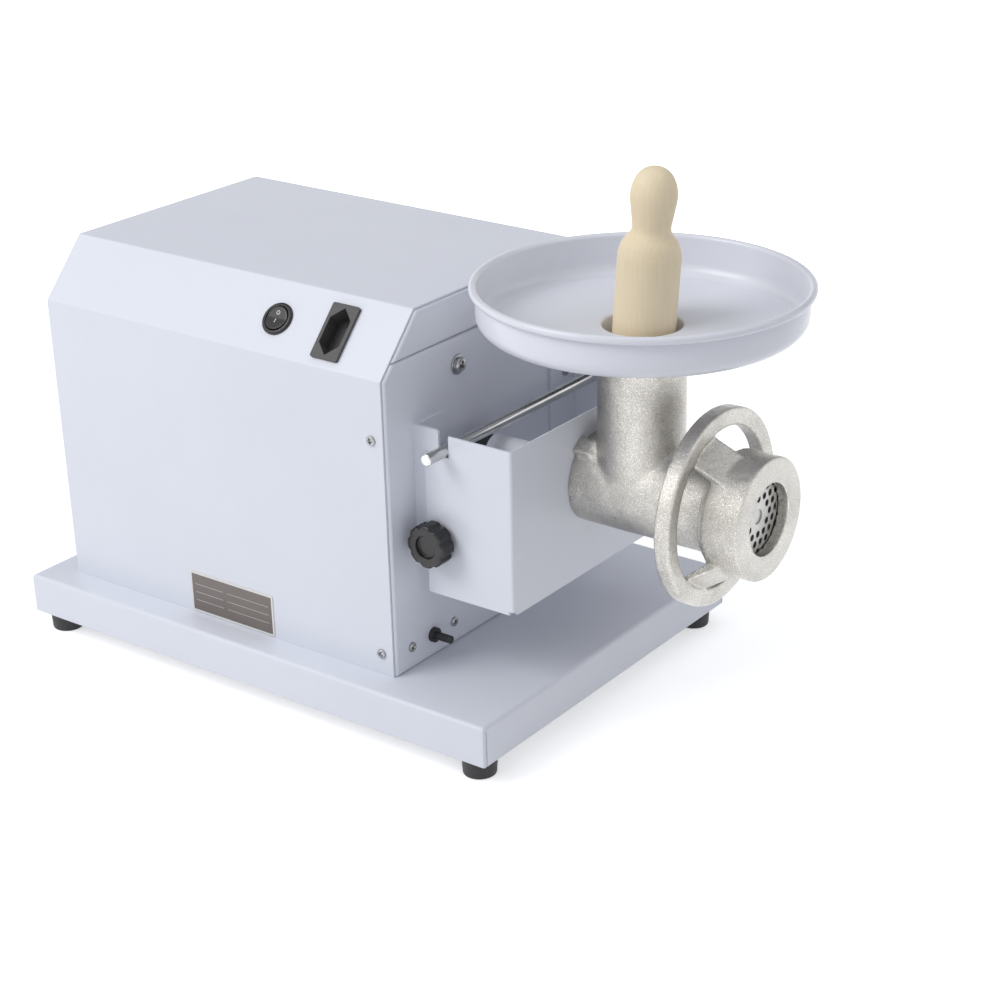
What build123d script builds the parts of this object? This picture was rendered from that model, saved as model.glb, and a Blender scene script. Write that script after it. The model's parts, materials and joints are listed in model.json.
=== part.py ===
from build123d import *
import os
from math import acos, atan2, cos, degrees, hypot, pi, radians, sin, tan

# Electric meat grinder: a sheet-metal motor housing on a footed tray, a drive box hung on
# its end, and a cast grinder head with a round feed pan and a wooden pusher.
# Frame: millimetres, +Z up, Z = 0 at the table, +X from the housing towards the nose of the
# head, -Y towards the switch side. The origin is under the middle of the bounding box.

# ---- Overall chain along X ---------------------------------------------------------------
rear_overhang = 25.0  # tray beyond the fan end of the housing
housing_length = 300.0
tray_nose = 92.0  # tray beyond the drive end of the housing
box_reach = 81.5  # drive box front face beyond the housing
head_reach = 134.5  # nose of the head beyond the box front face

# ---- Base tray and feet ------------------------------------------------------------------
tray_depth = 296.0
tray_height = 29.0
tray_sheet = 1.5
tray_bend = 3.0
tray_lip = 32.0  # return flange under the rim that carries the feet
tray_slit = 0.7
foot_height = 15.0
foot_top_radius = 13.0
foot_bottom_radius = 11.3
foot_inset = 16.0
foot_screw_radius = 2.5
foot_screw_length = 9.0

# ---- Housing sheets ----------------------------------------------------------------------
housing_depth = 250.0
housing_height = 248.5
cover_sheet_gauge = 1.2
cover_bend = 2.0
chamfer_run = 36.3
chamfer_rise = 39.0
back_run = 30.3
panel_gauge = 1.2
panel_proud = 2.0  # end panels stand proud of the cover's edges
panel_flange = 14.0
panel_bend = 2.0
panel_gap = 0.25
seam_height = 219.0  # split between end panel and end cap, above the tray
seam_gap = 0.5
vent_width = 4.0
vent_length = 34.0
vent_count = 6
vent_pitch = 11.0

# ---- Switch and outlet on the front chamfer ----------------------------------------------
switch_from_right = 99.0
chamfer_part_rise = 25.5  # centre of both, up the slope from the lower bend
bezel_radius = 11.6
bezel_height = 2.0
switch_body_radius = 9.9
switch_body_depth = 18.0
rocker_radius = 8.4
rocker_gap = 0.5
rocker_height = 2.6
rocker_throw = 8.0
outlet_from_right = 49.0
outlet_width = 22.2
outlet_height = 39.4
outlet_flange = 2.2
outlet_body_depth = 19.0
recess_width = 17.0
recess_height = 34.0
recess_depth = 12.0
contact_pitch = 9.5
contact_offset = 2.6
contact_radius = 2.4
contact_bore = 1.9

# ---- Screws ------------------------------------------------------------------------------
small_head_radius = 3.4
small_head_height = 1.8
small_shank_radius = 1.5
small_shank_length = 6.0
large_head_radius = 5.0
large_head_height = 3.6
washer_radius = 7.0
washer_thickness = 1.2
large_shank_radius = 2.5
hole_slack = 0.2

# ---- Plunger low on the drive end --------------------------------------------------------
plunger_inset = 40.8
plunger_height = 16.2
plunger_screw_pitch = 46.0
plunger_radius = 2.8
plunger_proud = 16.0
plunger_travel = 4.0
bush_radius = 5.2
bush_proud = 3.0
microswitch_depth = 20.0
microswitch_width = 28.0
microswitch_height = 24.0

# ---- Nameplate ---------------------------------------------------------------------------
plate_left = 117.0
plate_length = 77.5
plate_height = 31.0
plate_rise = 0.9
plate_thickness = 0.6

# ---- Head axis, gears and drive train ----------------------------------------------------
axis_inset = 119.25  # head axis behind the cover's front face
axis_height = 125.0  # head axis above the tray
gear_module = 1.5
pinion_teeth = 14
gear_teeth = 30
pressure_angle = radians(20)
tooth_slack = 0.3
mesh_angle = 156.0  # direction from head axis to pinion axis, from +Y towards +Z
pinion_start = 22.0  # rear face of the pinion's smooth drum beyond the housing
pinion_drum = 26.0
pinion_drum_radius = 12.0
pinion_face = 15.0  # toothed part, ahead of the drum
gear_width = 12.0
gear_setback = 3.0  # gear's rear face ahead of the pinion's drum
gear_hole_circle = 15.3
gear_hole_radius = 3.0
bearing_stand = 2.5  # output bearings ahead of the gear
shaft_clearance = 0.05  # radial, every running fit
slip_gap = 0.3  # between pieces of different bodies that face each other
countershaft_radius = 8.5
countershaft_inboard = 96.0
collar_radius = 10.5
bearing_width = 10.0
bearing_outer = 17.5
tube_outer = 25.0
tube_length = 56.0
frame_plate = 4.0
frame_screw_half_pitch = 42.5
frame_screw_top = 74.5  # above the head axis
frame_screw_bottom = 54.0  # below the head axis
frame_margin = 13.0
counter_pulley_radius = 60.0
motor_pulley_radius = 18.0
pulley_width = 16.0
pulley_rim = 3.0
pulley_flange = 2.0
belt_thickness = 5.0
belt_width = 10.0

# ---- Motor -------------------------------------------------------------------------------
motor_inset = 170.0
motor_height = 84.0
motor_radius = 60.0
motor_wall = 4.0
motor_from_right = 120.0  # drive end of the housing to the motor's front
motor_room = 54.0  # motor's rear to the fan end of the housing
bell_thickness = 8.0
bell_hub_radius = 22.0
stator_bore = 33.0
rotor_radius = 32.4
rotor_room = 19.0  # from the rotor's ends to the motor's ends
winding_reach = 10.0
winding_width = 12.0
winding_gap = 3.0
stator_slots = 18
stator_slot_size = (10.0, 4.0)
motor_shaft_radius = 8.0
fan_radius = 46.0
fan_thickness = 12.0
fan_blades = 8
fan_cover_depth = 24.0
fan_cover_wall = 1.2
saddle_width = 84.0
saddle_length = 96.0
saddle_rise = 34.0
saddle_plate = 5.0
saddle_flange = 16.0
capacitor_radius = 17.5
capacitor_length = 72.0
capacitor_place = (60.0, 45.0)  # from the housing's fan end and its front
terminal_size = (44.0, 20.0, 14.0)
terminal_place = (120.0, 40.0)
terminal_pitch = (10.0, 9.0)
terminal_bore = 2.6
gland_radius = 9.0
gland_bore = 4.0
gland_proud = 16.0

# ---- Holder brackets, drive box, rod and knob --------------------------------------------
box_half_width = 92.75
box_sheet = 1.5
box_bend = 2.0
box_bottom = 57.0  # above the tray
box_top = 171.5
box_back_gap = 12.0  # between the housing and the side walls' back edges
holder_gauge = 2.0
holder_web = 31.0
holder_reach = 46.0
holder_top = 173.0
holder_bottom = 82.0
holder_gap = 0.3
notch_half_width = 5.4
rod_radius = 4.0
rod_from_housing = 28.0
rod_height = 160.5
rod_overhang = 18.5
knob_from_housing = 22.0
knob_height = 97.0
knob_radius = 15.3
knob_depth = 14.0
knob_lobes = 8
knob_flute_radius = 4.2
knob_flute_depth = 1.5
knob_recess_radius = 8.0
knob_recess_depth = 2.5
knob_standoff = 1.5
stud_radius = 3.0
stud_reach = 16.0

# ---- Bearing housing on the box ----------------------------------------------------------
housing_flange = 4.0
housing_flange_radius = 36.0
housing_barrel_radius = 22.0
output_bearing_outer = 17.5
output_bearing_width = 7.0
output_shaft_radius = 10.0
head_bolt_circle = 26.4
head_bolt_radius = 2.5
head_bolt_head = 4.2
head_bolt_head_height = 3.5

# ---- Grinder head ------------------------------------------------------------------------
head_flange = 8.5  # seat the bolts screw into
ear_width = 13.0
ear_reach = 33.0
ear_length = 14.0
ear_angle = 35.0
barrel_radius = 31.0
barrel_bore = 25.0
collar_length = 20.0
collar_thread_radius = 37.0
neck_from_box = 37.5
neck_radius = 29.2
neck_bore = 25.0
neck_top = 236.5
socket_radius = 27.6
socket_depth = 14.0
bush_outer = 15.0
bush_length = 12.0
bush_back = 1.0
auger_journal = 12.0
auger_core = 9.0
auger_radius = 24.5
auger_turns = 3
flight_thickness = 5.0
drive_square = 14.0
knife_square = 10.0
knife_pin = 4.9
knife_thickness = 8.6
knife_radius = 28.0
knife_arm = 11.0
cutter_gap = 0.3
cutter_plate_radius = 31.0
cutter_plate_thickness = 8.0
plate_hole_radius = 2.4
plate_hole_pitch = 7.0
plate_hole_field = 27.0

# ---- Ring nut ----------------------------------------------------------------------------
nut_radius = 41.0
nut_length = 27.0
nut_lip = 8.0
nut_opening = 24.0
thread_slack = 0.3
rim_outer = 66.0
rim_inner = 54.0
rim_width = 11.0
rim_setback = 7.5  # rim's front face behind the nut's rear edge
spoke_angle = 116.0
spoke_width = 27.0

# ---- Feed pan and pusher -----------------------------------------------------------------
pan_wall_radius = 106.1
pan_foot_radius = 99.6
pan_sheet = 1.2
pan_height = 26.5  # floor to bead centre
pan_bead = 2.6
pan_hole = 26.0
spigot_length = 12.0
spigot_wall = 1.3
pusher_body_radius = 20.3
pusher_shoulder = 132.0  # up the pusher's own axis from its foot
pusher_waist_rise = 17.5  # above the shoulder
pusher_waist_radius = 12.4
pusher_bulb_rise = 19.0  # above the waist
pusher_bulb_radius = 15.0
pusher_crown = 19.5  # top above the bulb's widest place
pusher_lean = 3.7
lean_heading = 35.0  # the way it leans, from +X towards +Y

# ---- Derived places ----------------------------------------------------------------------
pan_outer_radius = pan_wall_radius - pan_sheet + 2 * pan_bead
overall_length = rear_overhang + housing_length + box_reach + neck_from_box + pan_outer_radius
tray_left = -overall_length / 2
cover_left = tray_left + rear_overhang
cover_right = cover_left + housing_length
tray_right = cover_right + tray_nose
tray_middle = (tray_left + tray_right) / 2
box_front = cover_right + box_reach
nose = box_front + head_reach
cover_front = -housing_depth / 2
cover_back = housing_depth / 2
tray_bottom = foot_height
base_top = foot_height + tray_height
cover_top = base_top + housing_height
panel_right = cover_right + panel_proud
panel_left = cover_left - panel_proud
axis_y = cover_front + axis_inset
axis_z = base_top + axis_height
mesh_distance = gear_module * (pinion_teeth + gear_teeth) / 2
pinion_y = axis_y + mesh_distance * cos(radians(mesh_angle))
pinion_z = axis_z + mesh_distance * sin(radians(mesh_angle))
motor_y = cover_front + motor_inset
motor_z = base_top + motor_height
box_near = axis_y - box_half_width
box_far = axis_y + box_half_width
seam_z = base_top + seam_height
frame_back = panel_right - panel_gauge

foot_places = [
    (x, y)
    for x in (tray_left + foot_inset, tray_right - foot_inset)
    for y in (foot_inset - tray_depth / 2, tray_depth / 2 - foot_inset)
]

# ---- Base tray: one folded sheet, open below, with a lip for the feet ---------------------
with BuildPart() as base_tray:
    with BuildSketch(Plane.XY.offset(tray_bottom)):
        with Locations((tray_middle, 0)):
            Rectangle(tray_right - tray_left, tray_depth)
    extrude(amount=tray_height)
    fillet(base_tray.edges().filter_by(Axis.Z), tray_bend / 2)
    fillet(base_tray.faces().sort_by(Axis.Z)[-1].edges(), tray_bend)
    with BuildSketch(Plane.XY.offset(tray_bottom + tray_sheet)):
        with Locations((tray_middle, 0)):
            Rectangle(tray_right - tray_left - 2 * tray_sheet, tray_depth - 2 * tray_sheet)
    extrude(amount=tray_height - 2 * tray_sheet, mode=Mode.SUBTRACT)
    with BuildSketch(Plane.XY.offset(tray_bottom)):
        with Locations((tray_middle, 0)):
            Rectangle(tray_right - tray_left - 2 * tray_lip, tray_depth - 2 * tray_lip)
    extrude(amount=tray_sheet, mode=Mode.SUBTRACT)
    # open seams where the end skirts meet the side skirts
    with BuildSketch(Plane.XY.offset(tray_bottom)):
        with Locations((tray_middle, 0)):
            with GridLocations(tray_right - tray_left, tray_depth - 2 * tray_bend, 2, 2):
                Rectangle(3 * tray_sheet, tray_slit)
    extrude(amount=tray_height - tray_bend, mode=Mode.SUBTRACT)
    with BuildSketch(Plane.XY.offset(tray_bottom)):
        with Locations(*foot_places):
            Circle(foot_screw_radius + hole_slack)
    extrude(amount=tray_sheet, mode=Mode.SUBTRACT)
base_tray.part.label = "base_tray"

foot_taper = degrees(atan2(foot_top_radius - foot_bottom_radius, foot_height))
with BuildPart() as rubber_feet:
    with BuildSketch(Plane.XY.offset(tray_bottom)):
        with Locations(*foot_places):
            Circle(foot_top_radius)
    extrude(amount=-foot_height, taper=foot_taper)
    # recess for the screw head, then its shank hole
    with BuildSketch():
        with Locations(*foot_places):
            Circle(small_head_radius + 1.2)
    extrude(amount=foot_height - 5, mode=Mode.SUBTRACT)
    with BuildSketch():
        with Locations(*foot_places):
            Circle(foot_screw_radius)
    extrude(amount=foot_height, mode=Mode.SUBTRACT)
rubber_feet.part.label = "rubber_feet"

with BuildPart() as foot_screws:
    with BuildSketch(Plane.XY.offset(foot_height - 5 - small_head_height)):
        with Locations(*foot_places):
            Circle(small_head_radius)
    extrude(amount=small_head_height)
    with BuildSketch(Plane.XY.offset(foot_height - 5)):
        with Locations(*foot_places):
            Circle(foot_screw_radius)
    extrude(amount=foot_screw_length)
foot_screws.part.label = "foot_screws"

# ---- Housing cover: one bent sheet over front, chamfer, top, back chamfer and back ---------
cover_outline = [
    (cover_front, base_top),
    (cover_front, cover_top - chamfer_rise),
    (cover_front + chamfer_run, cover_top),
    (cover_back - back_run, cover_top),
    (cover_back, cover_top - chamfer_rise),
    (cover_back, base_top),
]
slope_length = hypot(chamfer_run, chamfer_rise)
slope_up = Vector(0, chamfer_run / slope_length, chamfer_rise / slope_length)
slope_out = Vector(0, -chamfer_rise / slope_length, chamfer_run / slope_length)
slope_foot = Vector(0, cover_front, cover_top - chamfer_rise)


def on_slope(from_right, lift):
    """Plane on the front chamfer, x along +X and y up the slope, raised by lift."""
    spot = slope_foot + slope_up * chamfer_part_rise + slope_out * lift
    return Plane(
        origin=(cover_right - from_right, spot.Y, spot.Z), x_dir=(1, 0, 0), z_dir=slope_out
    )


front_screws = [
    (cover_right - 9.5, base_top + 168.4),
    (cover_right - 9.5, base_top + 15.4),
]

with BuildPart() as cover_sheet:
    with BuildSketch(Plane.YZ.offset(cover_left)):
        with BuildLine():
            FilletPolyline(*cover_outline, radius=cover_bend)
            offset(amount=cover_sheet_gauge, side=Side.RIGHT)
        make_face()
    extrude(amount=housing_length)
    with BuildSketch(on_slope(switch_from_right, 2)):
        Circle(switch_body_radius + hole_slack)
    extrude(amount=-8, mode=Mode.SUBTRACT)
    with BuildSketch(on_slope(outlet_from_right, 2)):
        Rectangle(recess_width + 3 + 2 * hole_slack, recess_height + 2 + 2 * hole_slack)
    extrude(amount=-8, mode=Mode.SUBTRACT)
    with BuildSketch(Plane.XZ.offset(-cover_front + 1)):
        with Locations(*front_screws):
            Circle(small_shank_radius + hole_slack)
    extrude(amount=-4, mode=Mode.SUBTRACT)
    # rows of cooling slots low in the back
    with BuildSketch(Plane.XZ.offset(-cover_back - 2)):
        with Locations(((cover_left + cover_right) / 2, base_top + 60)):
            with GridLocations(vent_length + 16, vent_pitch, 3, vent_count):
                SlotOverall(vent_length, vent_width)
    extrude(amount=6, mode=Mode.SUBTRACT)
cover_sheet.part.label = "cover_sheet"

# ---- End panels and end caps: shallow folded trays closing both ends -----------------------
inset_by = cover_sheet_gauge + panel_gap


def end_section(low, high, shrink):
    """Outline of the housing's inside between two heights, shrunk on every side."""
    edge = inset_by + shrink
    # where the shrunk chamfer line meets the shrunk front, back and top lines
    front_drop = edge * (slope_length - chamfer_rise) / chamfer_run
    back_slope = hypot(back_run, chamfer_rise)
    back_drop = edge * (back_slope - chamfer_rise) / back_run
    front_pull = edge * (slope_length - chamfer_run) / chamfer_rise
    back_pull = edge * (back_slope - back_run) / chamfer_rise
    shoulder_front = cover_top - chamfer_rise - front_drop
    shoulder_back = cover_top - chamfer_rise - back_drop
    front_y = cover_front + edge
    back_y = cover_back - edge
    top_z = cover_top - edge
    if high < min(shoulder_front, shoulder_back):
        return [(front_y, low), (front_y, high), (back_y, high), (back_y, low)]
    front_top = cover_front + chamfer_run + front_pull
    back_top = cover_back - back_run - back_pull
    if high < top_z:
        front_cut = front_y + (high - shoulder_front) * chamfer_run / chamfer_rise
        back_cut = back_y - (high - shoulder_back) * back_run / chamfer_rise
        return [
            (front_y, low),
            (front_y, shoulder_front),
            (front_cut, high),
            (back_cut, high),
            (back_y, shoulder_back),
            (back_y, low),
        ]
    low_front = front_y + max(0.0, low - shoulder_front) * chamfer_run / chamfer_rise
    low_back = back_y - max(0.0, low - shoulder_back) * back_run / chamfer_rise
    return [(low_front, low), (front_top, top_z), (back_top, top_z), (low_back, low)]


panel_low = base_top + panel_gap
panel_high = seam_z - seam_gap
cap_low = seam_z
plunger_y = cover_front + plunger_inset
plunger_z = base_top + plunger_height
plunger_screws = [
    (plunger_y - plunger_screw_pitch / 2, plunger_z),
    (plunger_y + plunger_screw_pitch / 2, plunger_z),
]
frame_screw_places = [
    (axis_y - frame_screw_half_pitch, axis_z + frame_screw_top),
    (axis_y + frame_screw_half_pitch, axis_z + frame_screw_top),
    (axis_y - frame_screw_half_pitch, axis_z - frame_screw_bottom),
    (axis_y + frame_screw_half_pitch, axis_z - frame_screw_bottom),
]
holder_screws = [
    (axis_y + side * (box_half_width - holder_web / 2), base_top + height)
    for side in (-1, 1)
    for height in (holder_bottom + 14, holder_top - 14)
]

with BuildPart() as end_panel_drive:
    with BuildSketch(Plane.YZ.offset(panel_right - panel_flange)):
        Polygon(*end_section(panel_low, panel_high, 0), align=None)
    extrude(amount=panel_flange)
    fillet(end_panel_drive.faces().sort_by(Axis.X)[-1].edges(), panel_bend)
    with BuildSketch(Plane.YZ.offset(panel_right - panel_flange)):
        Polygon(
            *end_section(panel_low + panel_gauge, panel_high - panel_gauge, panel_gauge),
            align=None,
        )
    extrude(amount=panel_flange - panel_gauge, mode=Mode.SUBTRACT)
    with BuildSketch(Plane.YZ.offset(frame_back)):
        with Locations((pinion_y, pinion_z)):
            Circle(countershaft_radius + 1.5)
        with Locations(*frame_screw_places):
            Circle(large_shank_radius + hole_slack)
        with Locations((plunger_y, plunger_z)):
            Circle(bush_radius - 1)
        with Locations(*plunger_screws):
            Circle(small_shank_radius + hole_slack)
        with Locations(*holder_screws):
            Circle(small_shank_radius + hole_slack)
    extrude(amount=panel_gauge, mode=Mode.SUBTRACT)
    with BuildSketch(Plane.XZ.offset(-cover_front)):
        with Locations(*front_screws):
            Circle(small_shank_radius)
    extrude(amount=-small_shank_length, mode=Mode.SUBTRACT)
end_panel_drive.part.label = "end_panel_drive"

with BuildPart() as end_cap_drive:
    with BuildSketch(Plane.YZ.offset(panel_right - panel_flange)):
        Polygon(*end_section(cap_low, cover_top, 0), align=None)
    extrude(amount=panel_flange)
    fillet(end_cap_drive.faces().sort_by(Axis.X)[-1].edges(), panel_bend)
    with BuildSketch(Plane.YZ.offset(panel_right - panel_flange)):
        Polygon(*end_section(cap_low + panel_gauge, cover_top, panel_gauge), align=None)
    extrude(amount=panel_flange - panel_gauge, mode=Mode.SUBTRACT)
end_cap_drive.part.label = "end_cap_drive"

gland_y = cover_back - 45
gland_z = base_top + 28

with BuildPart() as end_panel_fan:
    with BuildSketch(Plane.YZ.offset(panel_left)):
        Polygon(*end_section(panel_low, panel_high, 0), align=None)
    extrude(amount=panel_flange)
    fillet(end_panel_fan.faces().sort_by(Axis.X)[0].edges(), panel_bend)
    with BuildSketch(Plane.YZ.offset(panel_left + panel_gauge)):
        Polygon(
            *end_section(panel_low + panel_gauge, panel_high - panel_gauge, panel_gauge),
            align=None,
        )
    extrude(amount=panel_flange - panel_gauge, mode=Mode.SUBTRACT)
    with BuildSketch(Plane.YZ.offset(panel_left)):
        with Locations((motor_y, motor_z + 6)):
            with GridLocations(vent_length + 16, vent_pitch, 2, vent_count):
                SlotOverall(vent_length, vent_width)
        with Locations((gland_y, gland_z)):
            Circle(gland_radius - 2 + hole_slack)
    extrude(amount=panel_gauge, mode=Mode.SUBTRACT)
end_panel_fan.part.label = "end_panel_fan"

with BuildPart() as end_cap_fan:
    with BuildSketch(Plane.YZ.offset(panel_left)):
        Polygon(*end_section(cap_low, cover_top, 0), align=None)
    extrude(amount=panel_flange)
    fillet(end_cap_fan.faces().sort_by(Axis.X)[0].edges(), panel_bend)
    with BuildSketch(Plane.YZ.offset(panel_left + panel_gauge)):
        Polygon(*end_section(cap_low + panel_gauge, cover_top, panel_gauge), align=None)
    extrude(amount=panel_flange - panel_gauge, mode=Mode.SUBTRACT)
end_cap_fan.part.label = "end_cap_fan"

with BuildPart() as cable_gland:
    with BuildSketch(Plane.YZ.offset(panel_left)):
        with Locations((gland_y, gland_z)):
            RegularPolygon(gland_radius, 6)
    extrude(amount=-gland_proud / 3)
    with BuildSketch(Plane.YZ.offset(panel_left - gland_proud / 3)):
        with Locations((gland_y, gland_z)):
            Circle(gland_radius - 1.5)
    extrude(amount=-2 * gland_proud / 3, taper=12)
    with BuildSketch(Plane.YZ.offset(panel_left)):
        with Locations((gland_y, gland_z)):
            Circle(gland_radius - 2)
    extrude(amount=panel_flange)
    with BuildSketch(Plane.YZ.offset(panel_left - gland_proud)):
        with Locations((gland_y, gland_z)):
            Circle(gland_bore)
    extrude(amount=gland_proud + panel_flange, mode=Mode.SUBTRACT)
cable_gland.part.label = "cable_gland"

# ---- Small screws: in the front sheet, beside the plunger and through the holder webs --------
with BuildPart() as small_screws:
    with BuildSketch(Plane.XZ.offset(-cover_front)):
        with Locations(*front_screws):
            Circle(small_head_radius)
    extrude(amount=small_head_height)
    with BuildSketch(Plane.XZ.offset(-cover_front)):
        with Locations(*front_screws):
            Circle(small_shank_radius)
    extrude(amount=-small_shank_length)
    with BuildSketch(Plane.YZ.offset(panel_right)):
        with Locations(*plunger_screws):
            Circle(small_head_radius)
    extrude(amount=small_head_height)
    with BuildSketch(Plane.YZ.offset(panel_right)):
        with Locations(*plunger_screws):
            Circle(small_shank_radius)
    extrude(amount=-small_shank_length)
    with BuildSketch(Plane.YZ.offset(panel_right + holder_gauge)):
        with Locations(*holder_screws):
            Circle(small_head_radius)
    extrude(amount=small_head_height)
    with BuildSketch(Plane.YZ.offset(panel_right + holder_gauge)):
        with Locations(*holder_screws):
            Circle(small_shank_radius)
    extrude(amount=-holder_gauge - small_shank_length)
small_screws.part.label = "small_screws"

with BuildPart() as frame_screws:
    with BuildSketch(Plane.YZ.offset(panel_right)):
        with Locations(*frame_screw_places):
            Circle(washer_radius)
    extrude(amount=washer_thickness)
    with BuildSketch(Plane.YZ.offset(panel_right + washer_thickness)):
        with Locations(*frame_screw_places):
            Circle(large_head_radius)
    extrude(amount=large_head_height)
    fillet(frame_screws.faces().sort_by(Axis.X)[-4:].edges(), 1.2)
    with BuildSketch(Plane.YZ.offset(panel_right)):
        with Locations(*frame_screw_places):
            Circle(large_shank_radius)
    extrude(amount=-panel_gauge - frame_plate - 2)
frame_screws.part.label = "frame_screws"

# ---- Rocker switch -----------------------------------------------------------------------
with BuildPart() as switch_bezel:
    with BuildSketch(on_slope(switch_from_right, 0)):
        Circle(bezel_radius)
    extrude(amount=bezel_height)
    fillet(switch_bezel.edges().filter_by(GeomType.CIRCLE).sort_by(SortBy.RADIUS)[-1], 0.4)
    with BuildSketch(on_slope(switch_from_right, 0)):
        Circle(switch_body_radius)
    extrude(amount=-switch_body_depth)
    with BuildSketch(on_slope(switch_from_right, bezel_height)):
        Circle(rocker_radius + rocker_gap)
    extrude(amount=-bezel_height - 5, mode=Mode.SUBTRACT)
switch_bezel.part.label = "switch_bezel"

# the rocker's top is two shallow planes that meet over its pivot
with BuildPart() as switch_rocker:
    with BuildSketch(on_slope(switch_from_right, -3)):
        Circle(rocker_radius)
    extrude(amount=3 + rocker_height)
    rocker_side = Plane(
        origin=on_slope(switch_from_right, 0).origin + Vector(-bezel_radius, 0, 0),
        x_dir=slope_up,
        z_dir=(1, 0, 0),
    )
    with BuildSketch(rocker_side):
        with BuildLine():
            Polyline(
                (-bezel_radius, rocker_height + 1),
                (-bezel_radius, rocker_height + 0.6),
                (0, rocker_height - 0.8),
                (bezel_radius, rocker_height + 0.6),
                (bezel_radius, rocker_height + 1),
                close=True,
            )
        make_face()
    extrude(amount=2 * bezel_radius, mode=Mode.SUBTRACT)
switch_rocker.part.label = "switch_rocker"

# ---- Three-hole outlet with a long six-sided recess ----------------------------------------
recess_outline = [
    (0, recess_height / 2),
    (-recess_width / 2, recess_height / 2 - 8),
    (-recess_width / 2, -recess_height / 2 + 8),
    (0, -recess_height / 2),
    (recess_width / 2, -recess_height / 2 + 8),
    (recess_width / 2, recess_height / 2 - 8),
]
contact_places = [(0, contact_pitch), (0, -contact_pitch), (contact_offset, 0)]

with BuildPart() as outlet_body:
    with BuildSketch(on_slope(outlet_from_right, 0)):
        RectangleRounded(outlet_width, outlet_height, 1.5)
    extrude(amount=outlet_flange)
    with BuildSketch(on_slope(outlet_from_right, 0)):
        Rectangle(recess_width + 3, recess_height + 2)
    extrude(amount=-outlet_body_depth)
    with BuildSketch(on_slope(outlet_from_right, outlet_flange)):
        Polygon(*recess_outline, align=None)
    extrude(amount=-recess_depth, mode=Mode.SUBTRACT)
    with BuildSketch(on_slope(outlet_from_right, outlet_flange - recess_depth)):
        with Locations(*contact_places):
            Circle(contact_radius)
    extrude(amount=-6, mode=Mode.SUBTRACT)
outlet_body.part.label = "outlet_body"

with BuildPart() as outlet_contacts:
    with BuildSketch(on_slope(outlet_from_right, outlet_flange - recess_depth - 1)):
        with Locations(*contact_places):
            Circle(contact_radius)
            Circle(contact_bore, mode=Mode.SUBTRACT)
    extrude(amount=-5)
outlet_contacts.part.label = "outlet_contacts"

# ---- Blank nameplate on the front sheet ----------------------------------------------------
plate_middle_x = cover_left + plate_left + plate_length / 2
plate_middle_z = base_top + plate_rise + plate_height / 2
with BuildPart() as nameplate:
    with BuildSketch(Plane.XZ.offset(-cover_front)):
        with Locations((plate_middle_x, plate_middle_z)):
            RectangleRounded(plate_length, plate_height, 1.2)
    extrude(amount=plate_thickness)
nameplate.part.label = "nameplate"

# ---- Sprung plunger with its bush and the microswitch behind it ----------------------------
with BuildPart() as plunger_bush:
    with BuildSketch(Plane.YZ.offset(panel_right)):
        with Locations((plunger_y, plunger_z)):
            Circle(bush_radius)
    extrude(amount=bush_proud)
    with BuildSketch(Plane.YZ.offset(panel_right)):
        with Locations((plunger_y, plunger_z)):
            Circle(bush_radius - 1)
    extrude(amount=-panel_gauge - 4)
    with BuildSketch(Plane.YZ.offset(panel_right + bush_proud)):
        with Locations((plunger_y, plunger_z)):
            Circle(plunger_radius + shaft_clearance)
    extrude(amount=-bush_proud - panel_gauge - 4, mode=Mode.SUBTRACT)
plunger_bush.part.label = "plunger_bush"

plunger_back = panel_right - panel_gauge - 6
with BuildPart() as safety_plunger:
    with BuildSketch(Plane.YZ.offset(plunger_back)):
        with Locations((plunger_y, plunger_z)):
            Circle(plunger_radius)
    extrude(amount=panel_right + plunger_proud - plunger_back)
    fillet(safety_plunger.edges().sort_by(Axis.X)[-1], 0.8)
safety_plunger.part.label = "safety_plunger"

switch_box_front = plunger_back - plunger_travel - slip_gap
with BuildPart() as plunger_switch:
    with BuildSketch(Plane.YZ.offset(switch_box_front)):
        with Locations((plunger_y, panel_low + panel_gauge)):
            Rectangle(
                microswitch_width, microswitch_height, align=(Align.CENTER, Align.MIN)
            )
    extrude(amount=-microswitch_depth)
plunger_switch.part.label = "plunger_switch"


# ---- Gears: involute teeth, the pinion pointing a tooth into a gap of the gear --------------
def gear_outline(teeth, phase):
    """Points round a spur gear with a tooth centred on the angle phase, in radians."""
    pitch_radius = gear_module * teeth / 2
    base_radius = pitch_radius * cos(pressure_angle)
    tip_radius = pitch_radius + 0.88 * gear_module
    root_radius = pitch_radius - 1.25 * gear_module
    half_tooth = pi / (2 * teeth) - tooth_slack / (2 * pitch_radius)
    start_radius = max(base_radius, root_radius)
    flank = []
    for step in range(5):
        radius = start_radius + (tip_radius - start_radius) * step / 4
        roll = acos(min(1.0, base_radius / radius))
        swing = half_tooth + (tan(pressure_angle) - pressure_angle) - (tan(roll) - roll)
        flank.append((radius, swing))
    if root_radius < start_radius:
        flank.insert(0, (root_radius, flank[0][1]))
    outline = []
    for tooth in range(teeth):
        middle = phase + 2 * pi * tooth / teeth
        rising = [(radius, middle - swing) for radius, swing in flank]
        falling = [(radius, middle + swing) for radius, swing in reversed(flank)]
        outline += [(r * cos(a), r * sin(a)) for r, a in rising + falling]
    return outline


teeth_start = cover_right + pinion_start + pinion_drum
gear_rear = teeth_start + gear_setback
gear_front = gear_rear + gear_width
barrel_rear = gear_front + bearing_stand
box_inner_front = box_front - box_sheet
output_rear = gear_rear - 6
coupling_tip = box_front + 26.0
pinion_phase = radians(mesh_angle + 180)
gear_phase = radians(mesh_angle) + pi / gear_teeth

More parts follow.
